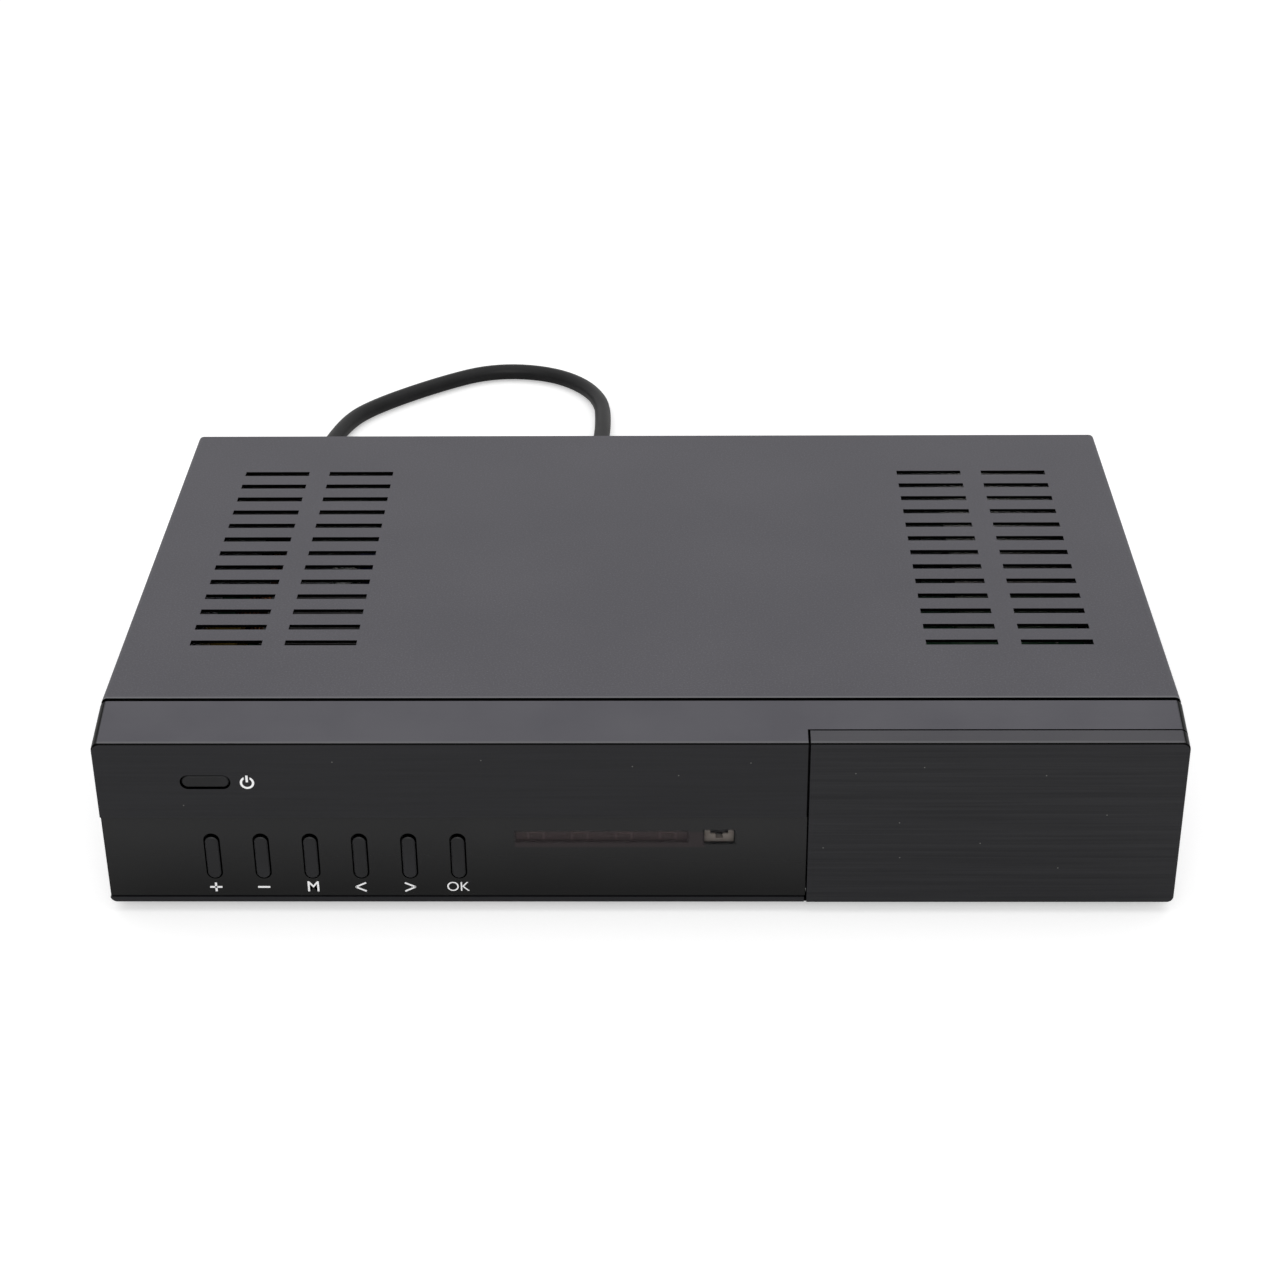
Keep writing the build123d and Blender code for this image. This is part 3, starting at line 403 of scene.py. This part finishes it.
dust = {
    "cellsPerMetre": 58,
    "radius": 0.2,             # mm
    "share": 0.55,             # how strongly a dot shows
    "dropped": 0.45,           # share of the cells without a dot
    "tone": (0.2, 0.2, 0.19),
}


# a few tiny dots of dust, one or none in each cell of the front
def dustShare(tree, spot, s):
    flat = tree.nodes.new("ShaderNodeCombineXYZ")
    tree.links.new(spot["X"], flat.inputs["X"])
    tree.links.new(spot["Z"], flat.inputs["Y"])
    cells = tree.nodes.new("ShaderNodeTexVoronoi")
    cells.voronoi_dimensions = "2D"
    cells.inputs["Scale"].default_value = s["cellsPerMetre"]
    tree.links.new(flat.outputs["Vector"], cells.inputs["Vector"])
    radius = s["radius"] * mm * s["cellsPerMetre"]
    dot = ranged(tree, cells.outputs["Distance"], (0.5 * radius, radius), (s["share"], 0.0))
    pick = tree.nodes.new("ShaderNodeSeparateColor")
    tree.links.new(cells.outputs["Color"], pick.inputs["Color"])
    kept = ranged(tree, pick.outputs["Red"], (s["dropped"], s["dropped"] + 0.01))
    return multiplied(tree, dot, kept)


# where the ledge and its edges begin, with their painted highlight and painted shade, the same on
# the panel and the flap
ledge = {
    "height": (45.0, 47.0),    # mm above the table
    "highlightLine": 0.75,          # mm, width of the painted highlight line
    "highlightSoft": 0.3,
    "behind": (2.5, 3.0),      # mm behind the front face
    "upwards": (0.93, 0.96),   # parts of the normal from here on
    "forward": (-0.1, -0.2),
    "level": (0.5, 0.4),
    # normal span of the painted dark rim at the ledge's front edge
    "rim": (0.12, 0.93, 0.02),
}


# black moulding, finely lined along its length, with painted light: greyer on its ledge as if lit
# from above, a painted highlight line and a painted dark rim at the ledge's front edge, and
# painted black shade on the walls of its seams and its round-ended hole
def brushedFront(name, s):
    material, tree, shader, place = startMaterial(name)
    lines = noise(tree, stretched(tree, place, s["lineStretch"]), s["linesPerMetre"],
                  detail=3, roughness=0.6)
    mottle = noise(tree, place, s["mottlePerMetre"], detail=3)
    spot, normal = split(tree, place), facing(tree)
    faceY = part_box(s["node"])[0].y
    high = ranged(tree, spot["Z"], inMetres(ledge["height"]))
    upwards = ranged(tree, normal["Z"], ledge["upwards"])
    forward = ranged(tree, normal["Y"], ledge["forward"])
    dusty = multiplied(tree, dustShare(tree, spot, dust), forward)
    front = blended(tree, dusty, toned(tree, lines, s["frontTones"], stops=(0.3, 0.7)),
                    dust["tone"])
    # painted highlight: a pale line along the ledge's front edge
    edge = between(tree, spot["Y"], *inMetres((0, ledge["highlightLine"]), faceY),
                   ledge["highlightSoft"] * mm)
    # painted light: the ledge's top gets a lighter tone than the front, as if lit from above
    top = blended(tree, edge, toned(tree, mottle, s["litTopTones"]), s["highlightTone"])
    paint = blended(tree, multiplied(tree, upwards, high), front, top)
    # painted shade: black on the rim at the ledge's front edge, on the seam walls and on the
    # hole's walls
    rim = multiplied(tree, between(tree, normal["Z"], *ledge["rim"]), forward, high)
    level = ranged(tree, normal["Z"], ledge["level"])
    behind = ranged(tree, spot["Y"], inMetres(ledge["behind"], faceY))
    seam = multiplied(tree, level, behind, high, sideways(tree, normal["X"], limit=0.5))
    black = [rim, seam]
    if "hole" in s:
        black.append(multiplied(tree, windowShare(tree, spot, s["hole"]),
                                sideways(tree, normal["Y"], limit=0.6)))
    paintShadeBlack(tree, shader, anyOf(tree, *black), paint)
    unevenGloss(tree, shader, lines, s["roughness"])
    bumped(tree, shader, lines, s["lineDepth"], s["lineShare"])
    shader.inputs["Specular IOR Level"].default_value = s["specular"]
    return material


# satin caps, with painted shade: black on their sides, in the gaps round them
def keyFinish(name, s):
    material, tree, shader, place = startMaterial(name)
    mottle = noise(tree, place, s["mottlePerMetre"], detail=2)
    grain = noise(tree, place, s["grainPerMetre"], detail=2, roughness=0.6)
    side = ranged(tree, facing(tree)["Y"], s["capSpan"])
    paintShadeBlack(tree, shader, side, toned(tree, mottle, s["tones"]))
    unevenGloss(tree, shader, mottle, s["roughness"])
    bumped(tree, shader, grain, s["grainDepth"], share=0.5)
    shader.inputs["Specular IOR Level"].default_value = s["specular"]
    return material


# smoked strip, printed black from behind, left clear over its windows and tinted around them, with
# a painted reflection that darkens it towards the bottom and painted black shade on the walls of
# its key holes
def smokedPlastic(name, s):
    material, tree, shader, place = startMaterial(name)
    mottle = noise(tree, place, s["mottlePerMetre"], detail=2)
    spot = split(tree, place)
    # painted reflection: darker towards the bottom, where the gloss would show the shaded floor
    upper = ranged(tree, spot["Z"], inMetres(s["reflectionFade"]))
    low, high = (toned(tree, mottle, tones) for tones in (s["darkReflectionTones"], s["tones"]))
    smoke = blended(tree, windowShare(tree, spot, s["tinted"], s["windowEdge"]),
                    blended(tree, upper, low, high), s["tint"])
    # painted shade: black walls in the key holes
    inHole = multiplied(tree, sideways(tree, facing(tree)["Y"], limit=0.6),
                        windowShare(tree, spot, s["holes"]))
    paintShadeBlack(tree, shader, inHole, smoke)
    unevenGloss(tree, shader, mottle, s["roughness"])
    clear = anyOf(tree, *(ranged(tree, windowShare(tree, spot, window, s["windowEdge"]),
                                 (0.0, 1.0), (0.0, clearness))
                          for window, clearness in s["windows"]))
    tree.links.new(ranged(tree, clear, (0.0, 1.0), (1.0, 0.0)), shader.inputs["Alpha"])
    shader.inputs["Specular IOR Level"].default_value = s["specular"]
    return material


# solder mask with lighter tracks under it and tinned pads
def circuitBoard(name, s):
    material, tree, shader, place = startMaterial(name)
    tracks = tree.nodes.new("ShaderNodeTexBrick")
    tracks.offset, tracks.squash = s["trackOffset"], s["trackSquash"]
    for socket, value in s["trackShape"].items():
        tracks.inputs[socket].default_value = value
    for socket, tone in (("Color1", "mask"), ("Color2", "mask"), ("Mortar", "track")):
        tracks.inputs[socket].default_value = (*s[tone], 1)
    tree.links.new(place, tracks.inputs["Vector"])
    pads = tree.nodes.new("ShaderNodeTexVoronoi")
    pads.inputs["Scale"].default_value = s["padsPerMetre"]
    tree.links.new(place, pads.inputs["Vector"])
    padShare = ranged(tree, pads.outputs["Distance"], s["padRadius"], (1.0, 0.0))
    tree.links.new(blended(tree, padShare, tracks.outputs["Color"], s["pad"]),
                   shader.inputs["Base Color"])
    unevenGloss(tree, shader, noise(tree, place, s["mottlePerMetre"]), s["roughness"])
    return material


# what tape, wire and ribbon share
layers = {
    "bandsPerScale": 3.2,      # bands of a Wave texture in a metre at scale 1
    "wobble": 0.4,
    "groove": (0.1, 0.6),      # part of a band from its dark tone to its pale one
    "relief": 0.6,
    "mottlePerMetre": 400,
}


# thin layers or turns side by side, such as tape, wire and ribbon
def layered(name, s):
    material, tree, shader, place = startMaterial(name)
    wave = tree.nodes.new("ShaderNodeTexWave")
    wave.bands_direction = s["across"]
    wave.inputs["Scale"].default_value = s["layersPerMetre"] / layers["bandsPerScale"]
    wave.inputs["Distortion"].default_value = layers["wobble"]
    tree.links.new(place, wave.inputs["Vector"])
    tree.links.new(toned(tree, wave.outputs["Fac"], s["tones"], layers["groove"]),
                   shader.inputs["Base Color"])
    bumped(tree, shader, wave.outputs["Fac"], s["depth"], layers["relief"])
    unevenGloss(tree, shader, noise(tree, place, layers["mottlePerMetre"]), s["roughness"])
    shader.inputs["Metallic"].default_value = s.get("metallic", 0.0)
    return material


# display behind the smoked strip, paler in its lowered segments
def displayFace(name, s):
    material, tree, shader, place = startMaterial(name)
    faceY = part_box("led_display")[0].y
    lowered = ranged(tree, split(tree, place)["Y"], inMetres(s["lowered"], faceY))
    face = toned(tree, noise(tree, place, s["grainPerMetre"]), s["faceTones"])
    tree.links.new(blended(tree, lowered, face, s["segment"]), shader.inputs["Base Color"])
    shader.inputs["Roughness"].default_value = s["roughness"]
    return material


# how each finish is made, and its settings
recipes = {
    "coverPaint": (ventedPaint, {
        "tones": ((0.070, 0.0675, 0.080), (0.081, 0.078, 0.091)),
        "mottlePerMetre": 25, "grainPerMetre": 2200, "grainDepth": 0.035, "grainShare": 0.8,
        "speck": 0.2, "roughness": (0.54, 0.57), "specular": 0.35,
        "rim": (0.9, 0.45), "rimHighlightTone": (0.12, 0.12, 0.13),      # mm behind the front edge, where the painted highlight lies
        "cutAbove": (51.0, 51.4), "cutWithin": (128.5, 127.5),  # mm, where cut faces get the painted black shade
        "flange": (-2.0, -3.0),                         # mm, the rear flange keeps its paint, without the painted shade
        "upwards": (0.3, 0.7), "level": (0.4, 0.1)}),   # parts of the normal
    "traySteel": (zincSheet, {
        "tones": ((0.5, 0.51, 0.52), (0.57, 0.58, 0.59)), "metallic": 0.9,
        "spanglePerMetre": 420, "rollStretch": (0.05, 1.0, 1.0), "rollPerMetre": 1500,
        "rollShare": 0.25, "rollDepth": 0.006, "spangleSpan": (0.2, 0.8),
        "roughness": (0.4, 0.45)}),
    "panelPlastic": (brushedFront, {
        "node": "front_panel",
        "frontTones": ((0.0095, 0.0095, 0.011), (0.013, 0.013, 0.015)),
        "litTopTones": ((0.066, 0.064, 0.076), (0.078, 0.076, 0.088)), "mottlePerMetre": 40,
        "highlightTone": (0.102, 0.101, 0.108),
        "hole": ((-111.0, -97.0), (35.5, 40.5)),        # round the long key
        "lineStretch": (0.02, 1.0, 1.0), "linesPerMetre": 1500, "lineDepth": 0.006,
        "lineShare": 0.25, "roughness": (0.36, 0.44), "specular": 0.25}),
    "flapPlastic": (brushedFront, {
        "node": "flap",
        "frontTones": ((0.0085, 0.0085, 0.010), (0.0165, 0.0165, 0.0185)),
        "litTopTones": ((0.049, 0.0475, 0.055), (0.057, 0.0555, 0.063)), "mottlePerMetre": 40,
        "highlightTone": (0.088, 0.087, 0.092),
        "lineStretch": (0.012, 1.0, 1.0), "linesPerMetre": 1700, "lineDepth": 0.012,
        "lineShare": 0.4, "roughness": (0.34, 0.44), "specular": 0.25}),
    "smokedStrip": (smokedPlastic, {
        "tones": ((0.0115, 0.0115, 0.012), (0.0135, 0.0135, 0.014)),
        "darkReflectionTones": ((0.002, 0.002, 0.002), (0.003, 0.003, 0.003)), "reflectionFade": (7.0, 23.0),
        "mottlePerMetre": 30, "roughness": (0.16, 0.22), "specular": 0.27,
        "holes": ((-108.0, -37.0), (8.5, 25.0)),        # round the six oval keys
        "windows": ((((-30.0, 11.4), (20.9, 23.5)), 0.5),       # place and clearness
                    (((15.7, 22.8), (20.4, 23.8)), 0.75)),
        "windowEdge": 0.6, "tinted": ((-30.0, 15.4), (19.5, 23.3)),
        "tint": (0.0205, 0.0152, 0.0163)}),
    "keyPlastic": (keyFinish, {
        "tones": ((0.009, 0.009, 0.0095), (0.013, 0.013, 0.0145)),
        "mottlePerMetre": 60, "grainPerMetre": 2400, "grainDepth": 0.01,
        "capSpan": (-0.65, -0.6), "roughness": (0.38, 0.48), "specular": 0.25}),
    "blackPlastic": (plainFinish, {
        "tones": ((0.014, 0.014, 0.015), (0.022, 0.022, 0.023)),
        "roughness": (0.4, 0.55), "specular": 0.4}),
    "board": (circuitBoard, {
        "mask": (0.006, 0.036, 0.015), "track": (0.012, 0.065, 0.026),
        "pad": (0.4, 0.39, 0.36), "padsPerMetre": 260, "padRadius": (0.1, 0.14),
        "trackShape": {"Scale": 120, "Mortar Size": 0.08, "Brick Width": 1.4, "Row Height": 0.32},
        "trackOffset": 0.3, "trackSquash": 1.6, "mottlePerMetre": 300,
        "roughness": (0.35, 0.5)}),
    "displayFace": (displayFace, {
        "faceTones": ((0.62, 0.47, 0.475), (0.70, 0.53, 0.535)),
        "segment": (0.92, 0.70, 0.68), "grainPerMetre": 1500,
        "lowered": (0.1, 0.2),                          # mm behind the display's face
        "roughness": 0.5}),
    "sensorResin": (plainFinish, {
        "tones": ((0.02, 0.012, 0.016), (0.03, 0.018, 0.022)),
        "roughness": (0.08, 0.15)}),
    "tinPlate": (plainFinish, {
        "tones": ((0.55, 0.53, 0.5), (0.68, 0.66, 0.62)), "metallic": 1.0,
        "mottlePerMetre": 150, "roughness": (0.28, 0.42)}),
    "shieldTin": (plainFinish, {
        "tones": ((0.8, 0.68, 0.6), (0.95, 0.84, 0.76)), "mottlePerMetre": 600,
        "roughness": (0.35, 0.5)}),
    "nickel": (plainFinish, {
        "tones": ((0.62, 0.6, 0.56), (0.72, 0.7, 0.66)), "metallic": 1.0,
        "mottlePerMetre": 200, "roughness": (0.16, 0.28)}),
    "brass": (plainFinish, {
        "tones": ((0.70, 0.50, 0.22), (0.80, 0.60, 0.30)), "metallic": 1.0,
        "roughness": (0.18, 0.3)}),
    "aluminium": (plainFinish, {
        "tones": ((0.62, 0.63, 0.64), (0.74, 0.75, 0.76)), "metallic": 1.0,
        "roughness": (0.3, 0.42)}),
    "capacitorSleeve": (plainFinish, {
        "tones": ((0.012, 0.016, 0.045), (0.018, 0.022, 0.06)),
        "roughness": (0.25, 0.35)}),
    "yellowBox": (plainFinish, {
        "tones": ((0.16, 0.105, 0.014), (0.2, 0.135, 0.022)),
        "roughness": (0.35, 0.5)}),
    "ferrite": (plainFinish, {
        "tones": ((0.035, 0.034, 0.033), (0.055, 0.053, 0.05)),
        "mottlePerMetre": 400, "roughness": (0.5, 0.65)}),
    "windingTape": (layered, {
        "across": "Z", "layersPerMetre": 180, "depth": 0.05,
        "tones": ((0.2, 0.13, 0.015), (0.34, 0.24, 0.03)), "roughness": (0.3, 0.45)}),
    "copperWire": (layered, {
        "across": "X", "layersPerMetre": 900, "depth": 0.2,
        "tones": ((0.07, 0.026, 0.009), (0.18, 0.075, 0.028)), "metallic": 0.8,
        "roughness": (0.3, 0.4)}),
    "fuseGlass": (plainFinish, {
        "tones": ((0.5, 0.52, 0.5), (0.6, 0.62, 0.6)),
        "roughness": (0.05, 0.1)}),
    "ribbon": (layered, {
        "across": "X", "layersPerMetre": 800, "depth": 0.1,
        "tones": ((0.28, 0.28, 0.29), (0.5, 0.5, 0.52)), "roughness": (0.4, 0.5)}),
    "coreBrown": (plainFinish, {
        "tones": ((0.10, 0.045, 0.02), (0.13, 0.06, 0.03)),
        "roughness": (0.35, 0.45)}),
    "footRubber": (plainFinish, {
        "tones": ((0.012, 0.012, 0.012), (0.022, 0.022, 0.022)),
        "grainPerMetre": 1800, "grainDepth": 0.05, "roughness": (0.7, 0.85), "specular": 0.3}),
    "screwSteel": (plainFinish, {
        "tones": ((0.05, 0.05, 0.052), (0.09, 0.09, 0.094)),
        "metallic": 0.85, "roughness": (0.3, 0.42)}),
    "cordBlack": (plainFinish, {
        "tones": ((0.003, 0.003, 0.0033), (0.007, 0.007, 0.0075)),
        "mottlePerMetre": 120, "grainPerMetre": 1500, "grainDepth": 0.02,
        "roughness": (0.4, 0.5), "specular": 0.2}),
    "tiePlastic": (plainFinish, {
        "tones": ((0.55, 0.55, 0.53), (0.66, 0.66, 0.64)),
        "roughness": (0.35, 0.5)}),
    "jackPlastic": (jackBlock, {
        "tones": ((0.014, 0.014, 0.015), (0.022, 0.022, 0.023)),
        "grainPerMetre": 1500, "roughness": (0.38, 0.5),
        "collarFrom": (76.15, 76.2), "collarHalf": 5.5, "collarSoft": 0.1,
        "collars": {                                    # by their place along X
            2.0: (0.6, 0.42, 0.03), 16.0: (0.72, 0.72, 0.69),
            30.0: (0.45, 0.02, 0.018), 74.0: (0.5, 0.14, 0.015)}}),
    "seamShade": (plainFinish, {
        "tones": ((0.002, 0.002, 0.002), (0.003, 0.003, 0.003)),
        "metallic": 1.0, "roughness": (0.6, 0.7)}),
    "printInk": (plainFinish, {
        "tones": ((0.88, 0.88, 0.89), (0.93, 0.93, 0.93)),
        "grainPerMetre": 6000, "roughness": (0.5, 0.6)}),
}
finishes = {name: maker(name, settings) for name, (maker, settings) in recipes.items()}

dressedIn = {
    "coverPaint": ["top_cover"],
    "traySteel": ["chassis_tray"],
    "panelPlastic": ["front_panel"],
    "flapPlastic": ["flap"],
    "smokedStrip": ["smoked_strip"],
    "keyPlastic": ["power_key", "plus_key", "minus_key", "menu_key", "left_key", "right_key",
                   "ok_key"],
    "blackPlastic": ["tact_switches", "decoder_chip", "memory_chips", "power_transistor",
                     "strain_relief", "mains_plug", "plug_sleeves"],
    "jackPlastic": ["av_jack_block", "digital_jack_block"],
    "board": ["front_board", "main_board", "power_board"],
    "displayFace": ["led_display"],
    "shieldTin": ["sensor_shield"],
    "sensorResin": ["infrared_sensor"],
    "tinPlate": ["tuner_can", "crystals", "usb_socket", "hdmi_socket"],
    "nickel": ["aerial_in", "aerial_out", "jack_shells", "plug_pins", "fuse_clips",
               "flap_hinge_pins"],
    "brass": ["socket_contacts", "board_standoffs"],
    "aluminium": ["heatsink", "transistor_heatsink"],
    "capacitorSleeve": ["board_capacitors", "power_capacitors"],
    "yellowBox": ["filter_capacitor"],
    "ferrite": ["transformer_core"],
    "windingTape": ["transformer_winding"],
    "copperWire": ["line_choke"],
    "fuseGlass": ["fuse"],
    "ribbon": ["ribbon_cable", "power_harness"],
    "coreBrown": ["inner_lead"],
    "footRubber": ["feet"],
    "screwSteel": ["cover_screws", "small_screws"],
    "tiePlastic": ["cord_tie"],
}


def dress(piece, finish):
    piece.data.materials.clear()
    piece.data.materials.append(finishes[finish])


for finishName, nodeNames in dressedIn.items():
    for nodeName in nodeNames:
        dress(nodes[nodeName], finishName)
dress(mainsLead, "cordBlack")
print("finishes are on", len(finishes), "materials")


# the printed legends, in mm
legends = {
    "ink": 0.02,               # thickness of the print
    "mergeWithin": 0.002,
    "stroke": 0.52,
    "z": 7.4,                  # height of the row below the keys
    "letters": {               # text, place along X, height and swell of the outline
        "menuLegend": ("M", -80.2, 3.1, 0.03),
        "okLegend": ("OK", -44.65, 2.8, -0.02),
    },
    "sizePerHeight": 1.38,     # the font's size for a capital 1 high
    "plus": (-104.1, 3.0, 2.6),
    "minus": (-92.3, 3.0),
    "arrows": {"leftLegend": (-68.5, -1), "rightLegend": (-56.4, 1)},
    "arrowSize": (2.6, 2.5),
    "arrowStroke": 0.44,
}
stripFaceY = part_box("smoked_strip")[0].y
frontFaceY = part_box("front_panel")[0].y


# merges a legend's points, turns its faces outwards, inks it and fixes it to the case
def finishPrint(piece, name):
    piece.name = piece.data.name = name
    pickOnly(piece)
    bpy.ops.object.mode_set(mode="EDIT")
    bpy.ops.mesh.select_all(action="SELECT")
    bpy.ops.mesh.remove_doubles(threshold=legends["mergeWithin"] * mm)
    bpy.ops.mesh.normals_make_consistent(inside=False)
    bpy.ops.object.mode_set(mode="OBJECT")
    dress(piece, "printInk")
    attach(piece, "case")


# straight strokes of one width on a front face, joined as one piece
def strokePrint(name, lines, faceY, stroke=legends["stroke"]):
    clearSelection()
    bars = []
    for (startX, startZ), (endX, endZ) in lines:
        run = Vector((endX - startX, endZ - startZ)) * mm
        middle = ((startX + endX) / 2 * mm, faceY - legends["ink"] / 2 * mm,
                  (startZ + endZ) / 2 * mm)
        bpy.ops.mesh.primitive_cube_add(size=1, location=middle,
                                        rotation=(0, -math.atan2(run.y, run.x), 0),
                                        scale=(run.length, legends["ink"] * mm, stroke * mm))
        bars.append(settle(bpy.context.object))
    clearSelection()
    for bar in bars:
        bar.select_set(True)
    bpy.context.view_layer.objects.active = bars[0]
    if len(bars) > 1:
        bpy.ops.object.join()
    finishPrint(bpy.context.object, name)


def textPrint(name, words, x, height, swell, faceY):
    bpy.ops.object.text_add()
    piece = bpy.context.object
    piece.data.body = words
    piece.data.size = height * legends["sizePerHeight"] * mm
    piece.data.align_x, piece.data.align_y = "CENTER", "CENTER"
    piece.data.extrude = legends["ink"] / 2 * mm
    piece.data.offset = swell * mm
    piece = asMesh(piece)
    piece.rotation_euler = (math.pi / 2, 0, 0)
    piece.location = (x * mm, faceY - legends["ink"] / 2 * mm, legends["z"] * mm)
    finishPrint(settle(piece), name)


def makeLegends():
    z = legends["z"]
    x, width, height = legends["plus"]
    strokePrint("plusLegend", [((x - width / 2, z), (x + width / 2, z)),
                               ((x, z - height / 2), (x, z + height / 2))], stripFaceY)
    x, width = legends["minus"]
    strokePrint("minusLegend", [((x - width / 2, z), (x + width / 2, z))], stripFaceY)
    width, height = legends["arrowSize"]
    for name, (x, way) in legends["arrows"].items():
        tip, tail = x + way * width / 2, x - way * width / 2
        strokePrint(name, [((tail, z + height / 2), (tip, z)), ((tip, z), (tail, z - height / 2))],
                    stripFaceY, legends["arrowStroke"])
    for name, (words, x, height, swell) in legends["letters"].items():
        textPrint(name, words, x, height, swell, stripFaceY)


# the standby sign beside the long key, in mm
powerIcon = {
    "place": (-93.9, 38.1),    # along X, and above the table
    "radius": 1.45,
    "stroke": 0.55,
    "gap": 0.62,               # half of the ring's opening
    "gapFrom": 0.4,            # height above the middle where the opening starts, in radii
    "stem": (0.15, 0.6),       # its foot above the middle, and its top above the ring
    "segments": (48, 8),       # along the ring and round its stroke
}


# a ring that is open at its top, and the stroke through the opening
def makePowerIcon(s):
    (x, z), radius, stroke = s["place"], s["radius"], s["stroke"]
    along, around = s["segments"]
    bpy.ops.mesh.primitive_torus_add(
        major_radius=radius * mm, minor_radius=stroke / 2 * mm, major_segments=along,
        minor_segments=around, rotation=(math.pi / 2, 0, 0),
        location=(x * mm, frontFaceY - legends["ink"] / 2 * mm, z * mm))
    ring = bpy.context.object
    ring.scale = (1, 1, legends["ink"] / stroke)
    settle(ring)
    bpy.ops.object.mode_set(mode="EDIT")
    bpy.ops.mesh.select_all(action="DESELECT")
    bpy.ops.object.mode_set(mode="OBJECT")
    for vertex in ring.data.vertices:
        inGap = abs(vertex.co.x - x * mm) < s["gap"] * mm
        vertex.select = inGap and vertex.co.z > (z + s["gapFrom"] * radius) * mm
    bpy.ops.object.mode_set(mode="EDIT")
    bpy.ops.mesh.select_mode(type="VERT")
    bpy.ops.mesh.delete(type="VERT")
    bpy.ops.mesh.select_all(action="DESELECT")
    bpy.ops.mesh.select_non_manifold(extend=False)      # the two open ends
    bpy.ops.mesh.edge_face_add()
    bpy.ops.object.mode_set(mode="OBJECT")
    finishPrint(ring, "powerRing")
    foot, top = s["stem"]
    strokePrint("powerStroke", [((x, z + foot), (x, z + radius + top))], frontFaceY, stroke)


makeLegends()
makePowerIcon(powerIcon)
print("legends are printed")


# in mm
seamFloor = {
    "x": (40.1, 40.69),        # beside the flap's end, which turns at 40.7
    "y": (-84.9, -73.5),
    "z": (3.05, 3.75),
    "nose": 0.12,              # rounding of its edges
    "noseSteps": 3,
}


# a black, glossless sheet of painted shade under the seam beside the flap, shaped as the panel's
# bottom wall carried forward
def makeSeamFloor(s):
    clearSelection()
    spans = (s["x"], s["y"], s["z"])
    middle = [(low + high) / 2 * mm for low, high in spans]
    size = [(high - low) * mm for low, high in spans]
    bpy.ops.mesh.primitive_cube_add(size=1, location=middle, scale=size)
    piece = settle(bpy.context.object)
    piece.name = piece.data.name = "seamFloor"
    nose = piece.modifiers.new("nose", "BEVEL")
    nose.width, nose.segments = s["nose"] * mm, s["noseSteps"]
    nose.limit_method = "NONE"
    nose.use_clamp_overlap = True
    bpy.ops.object.modifier_apply(modifier="nose")
    dress(piece, "seamShade")
    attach(piece, "case")


makeSeamFloor(seamFloor)
print("seam floor is in")


# in metres and watts
studio = {
    "floorSize": 6.0,
    "floorDrop": 0.0002,       # keeps the floor clear of the feet
    "floorTones": (0.86, 0.87),
    "floorRoughness": 0.9,
    "floorMottle": 3,          # noise per metre
    "floorGlow": (0.42, 1.0),  # lifts the open floor to white for the camera
    "glowReach": (0.9, 2.2),   # from the middle, over which the glow grows
    "lamps": {                 # place, size and power of the two soft boxes
        "overheadLamp": ((0.0, 0.1, 1.6), 2.2, 12.0),
        "frontLamp": ((0.0, -1.55, 0.95), 1.2, 13.0),
    },
    "fill": 0.42,              # sky light on the object
}
white = (1, 1, 1, 1)


def makeFloor(s):
    clearSelection()
    bpy.ops.mesh.primitive_plane_add(size=s["floorSize"], location=(0, 0, -s["floorDrop"]))
    floor = bpy.context.object
    floor.name = "floor"
    material, tree, shader, place = startMaterial("floorPaper")
    tone = toned(tree, noise(tree, place, s["floorMottle"]),
                 [(grey, grey, grey) for grey in s["floorTones"]])
    tree.links.new(tone, shader.inputs["Base Color"])
    shader.inputs["Roughness"].default_value = s["floorRoughness"]
    shader.inputs["Specular IOR Level"].default_value = 0.0
    rays = tree.nodes.new("ShaderNodeLightPath")
    away = tree.nodes.new("ShaderNodeVectorMath")
    away.operation = "LENGTH"
    tree.links.new(place, away.inputs[0])
    glow = ranged(tree, away.outputs["Value"], s["glowReach"], s["floorGlow"])
    shader.inputs["Emission Color"].default_value = white
    tree.links.new(multiplied(tree, rays.outputs["Is Camera Ray"], glow),
                   shader.inputs["Emission Strength"])
    floor.data.materials.append(material)


# white for the camera and for reflections, softer as light on the object
def makeSky(s):
    world = bpy.data.worlds.new("studio")
    bpy.context.scene.world = world
    world.use_nodes = True
    tree = world.node_tree
    background = next(node for node in tree.nodes if node.type == "BACKGROUND")
    background.inputs["Color"].default_value = white
    rays = tree.nodes.new("ShaderNodeLightPath")
    seen = anyOf(tree, *(rays.outputs[name] for name in
                         ("Is Camera Ray", "Is Glossy Ray", "Is Transmission Ray")))
    strength = ranged(tree, seen, (0.0, 1.0), (s["fill"], 1.0))
    tree.links.new(strength, background.inputs["Strength"])


def makeLamps(s):
    for name, (place, size, power) in s["lamps"].items():
        data = bpy.data.lights.new(name, "AREA")
        data.shape = "SQUARE"
        data.size = size
        data.energy = power
        lamp = bpy.data.objects.new(name, data)
        lamp.location = place
        lamp.rotation_euler = (-Vector(place)).to_track_quat("-Z", "Y").to_euler()
        bpy.context.scene.collection.objects.link(lamp)


makeFloor(studio)
makeSky(studio)
makeLamps(studio)
bpy.context.scene.view_settings.view_transform = "Standard"
print("studio is lit")
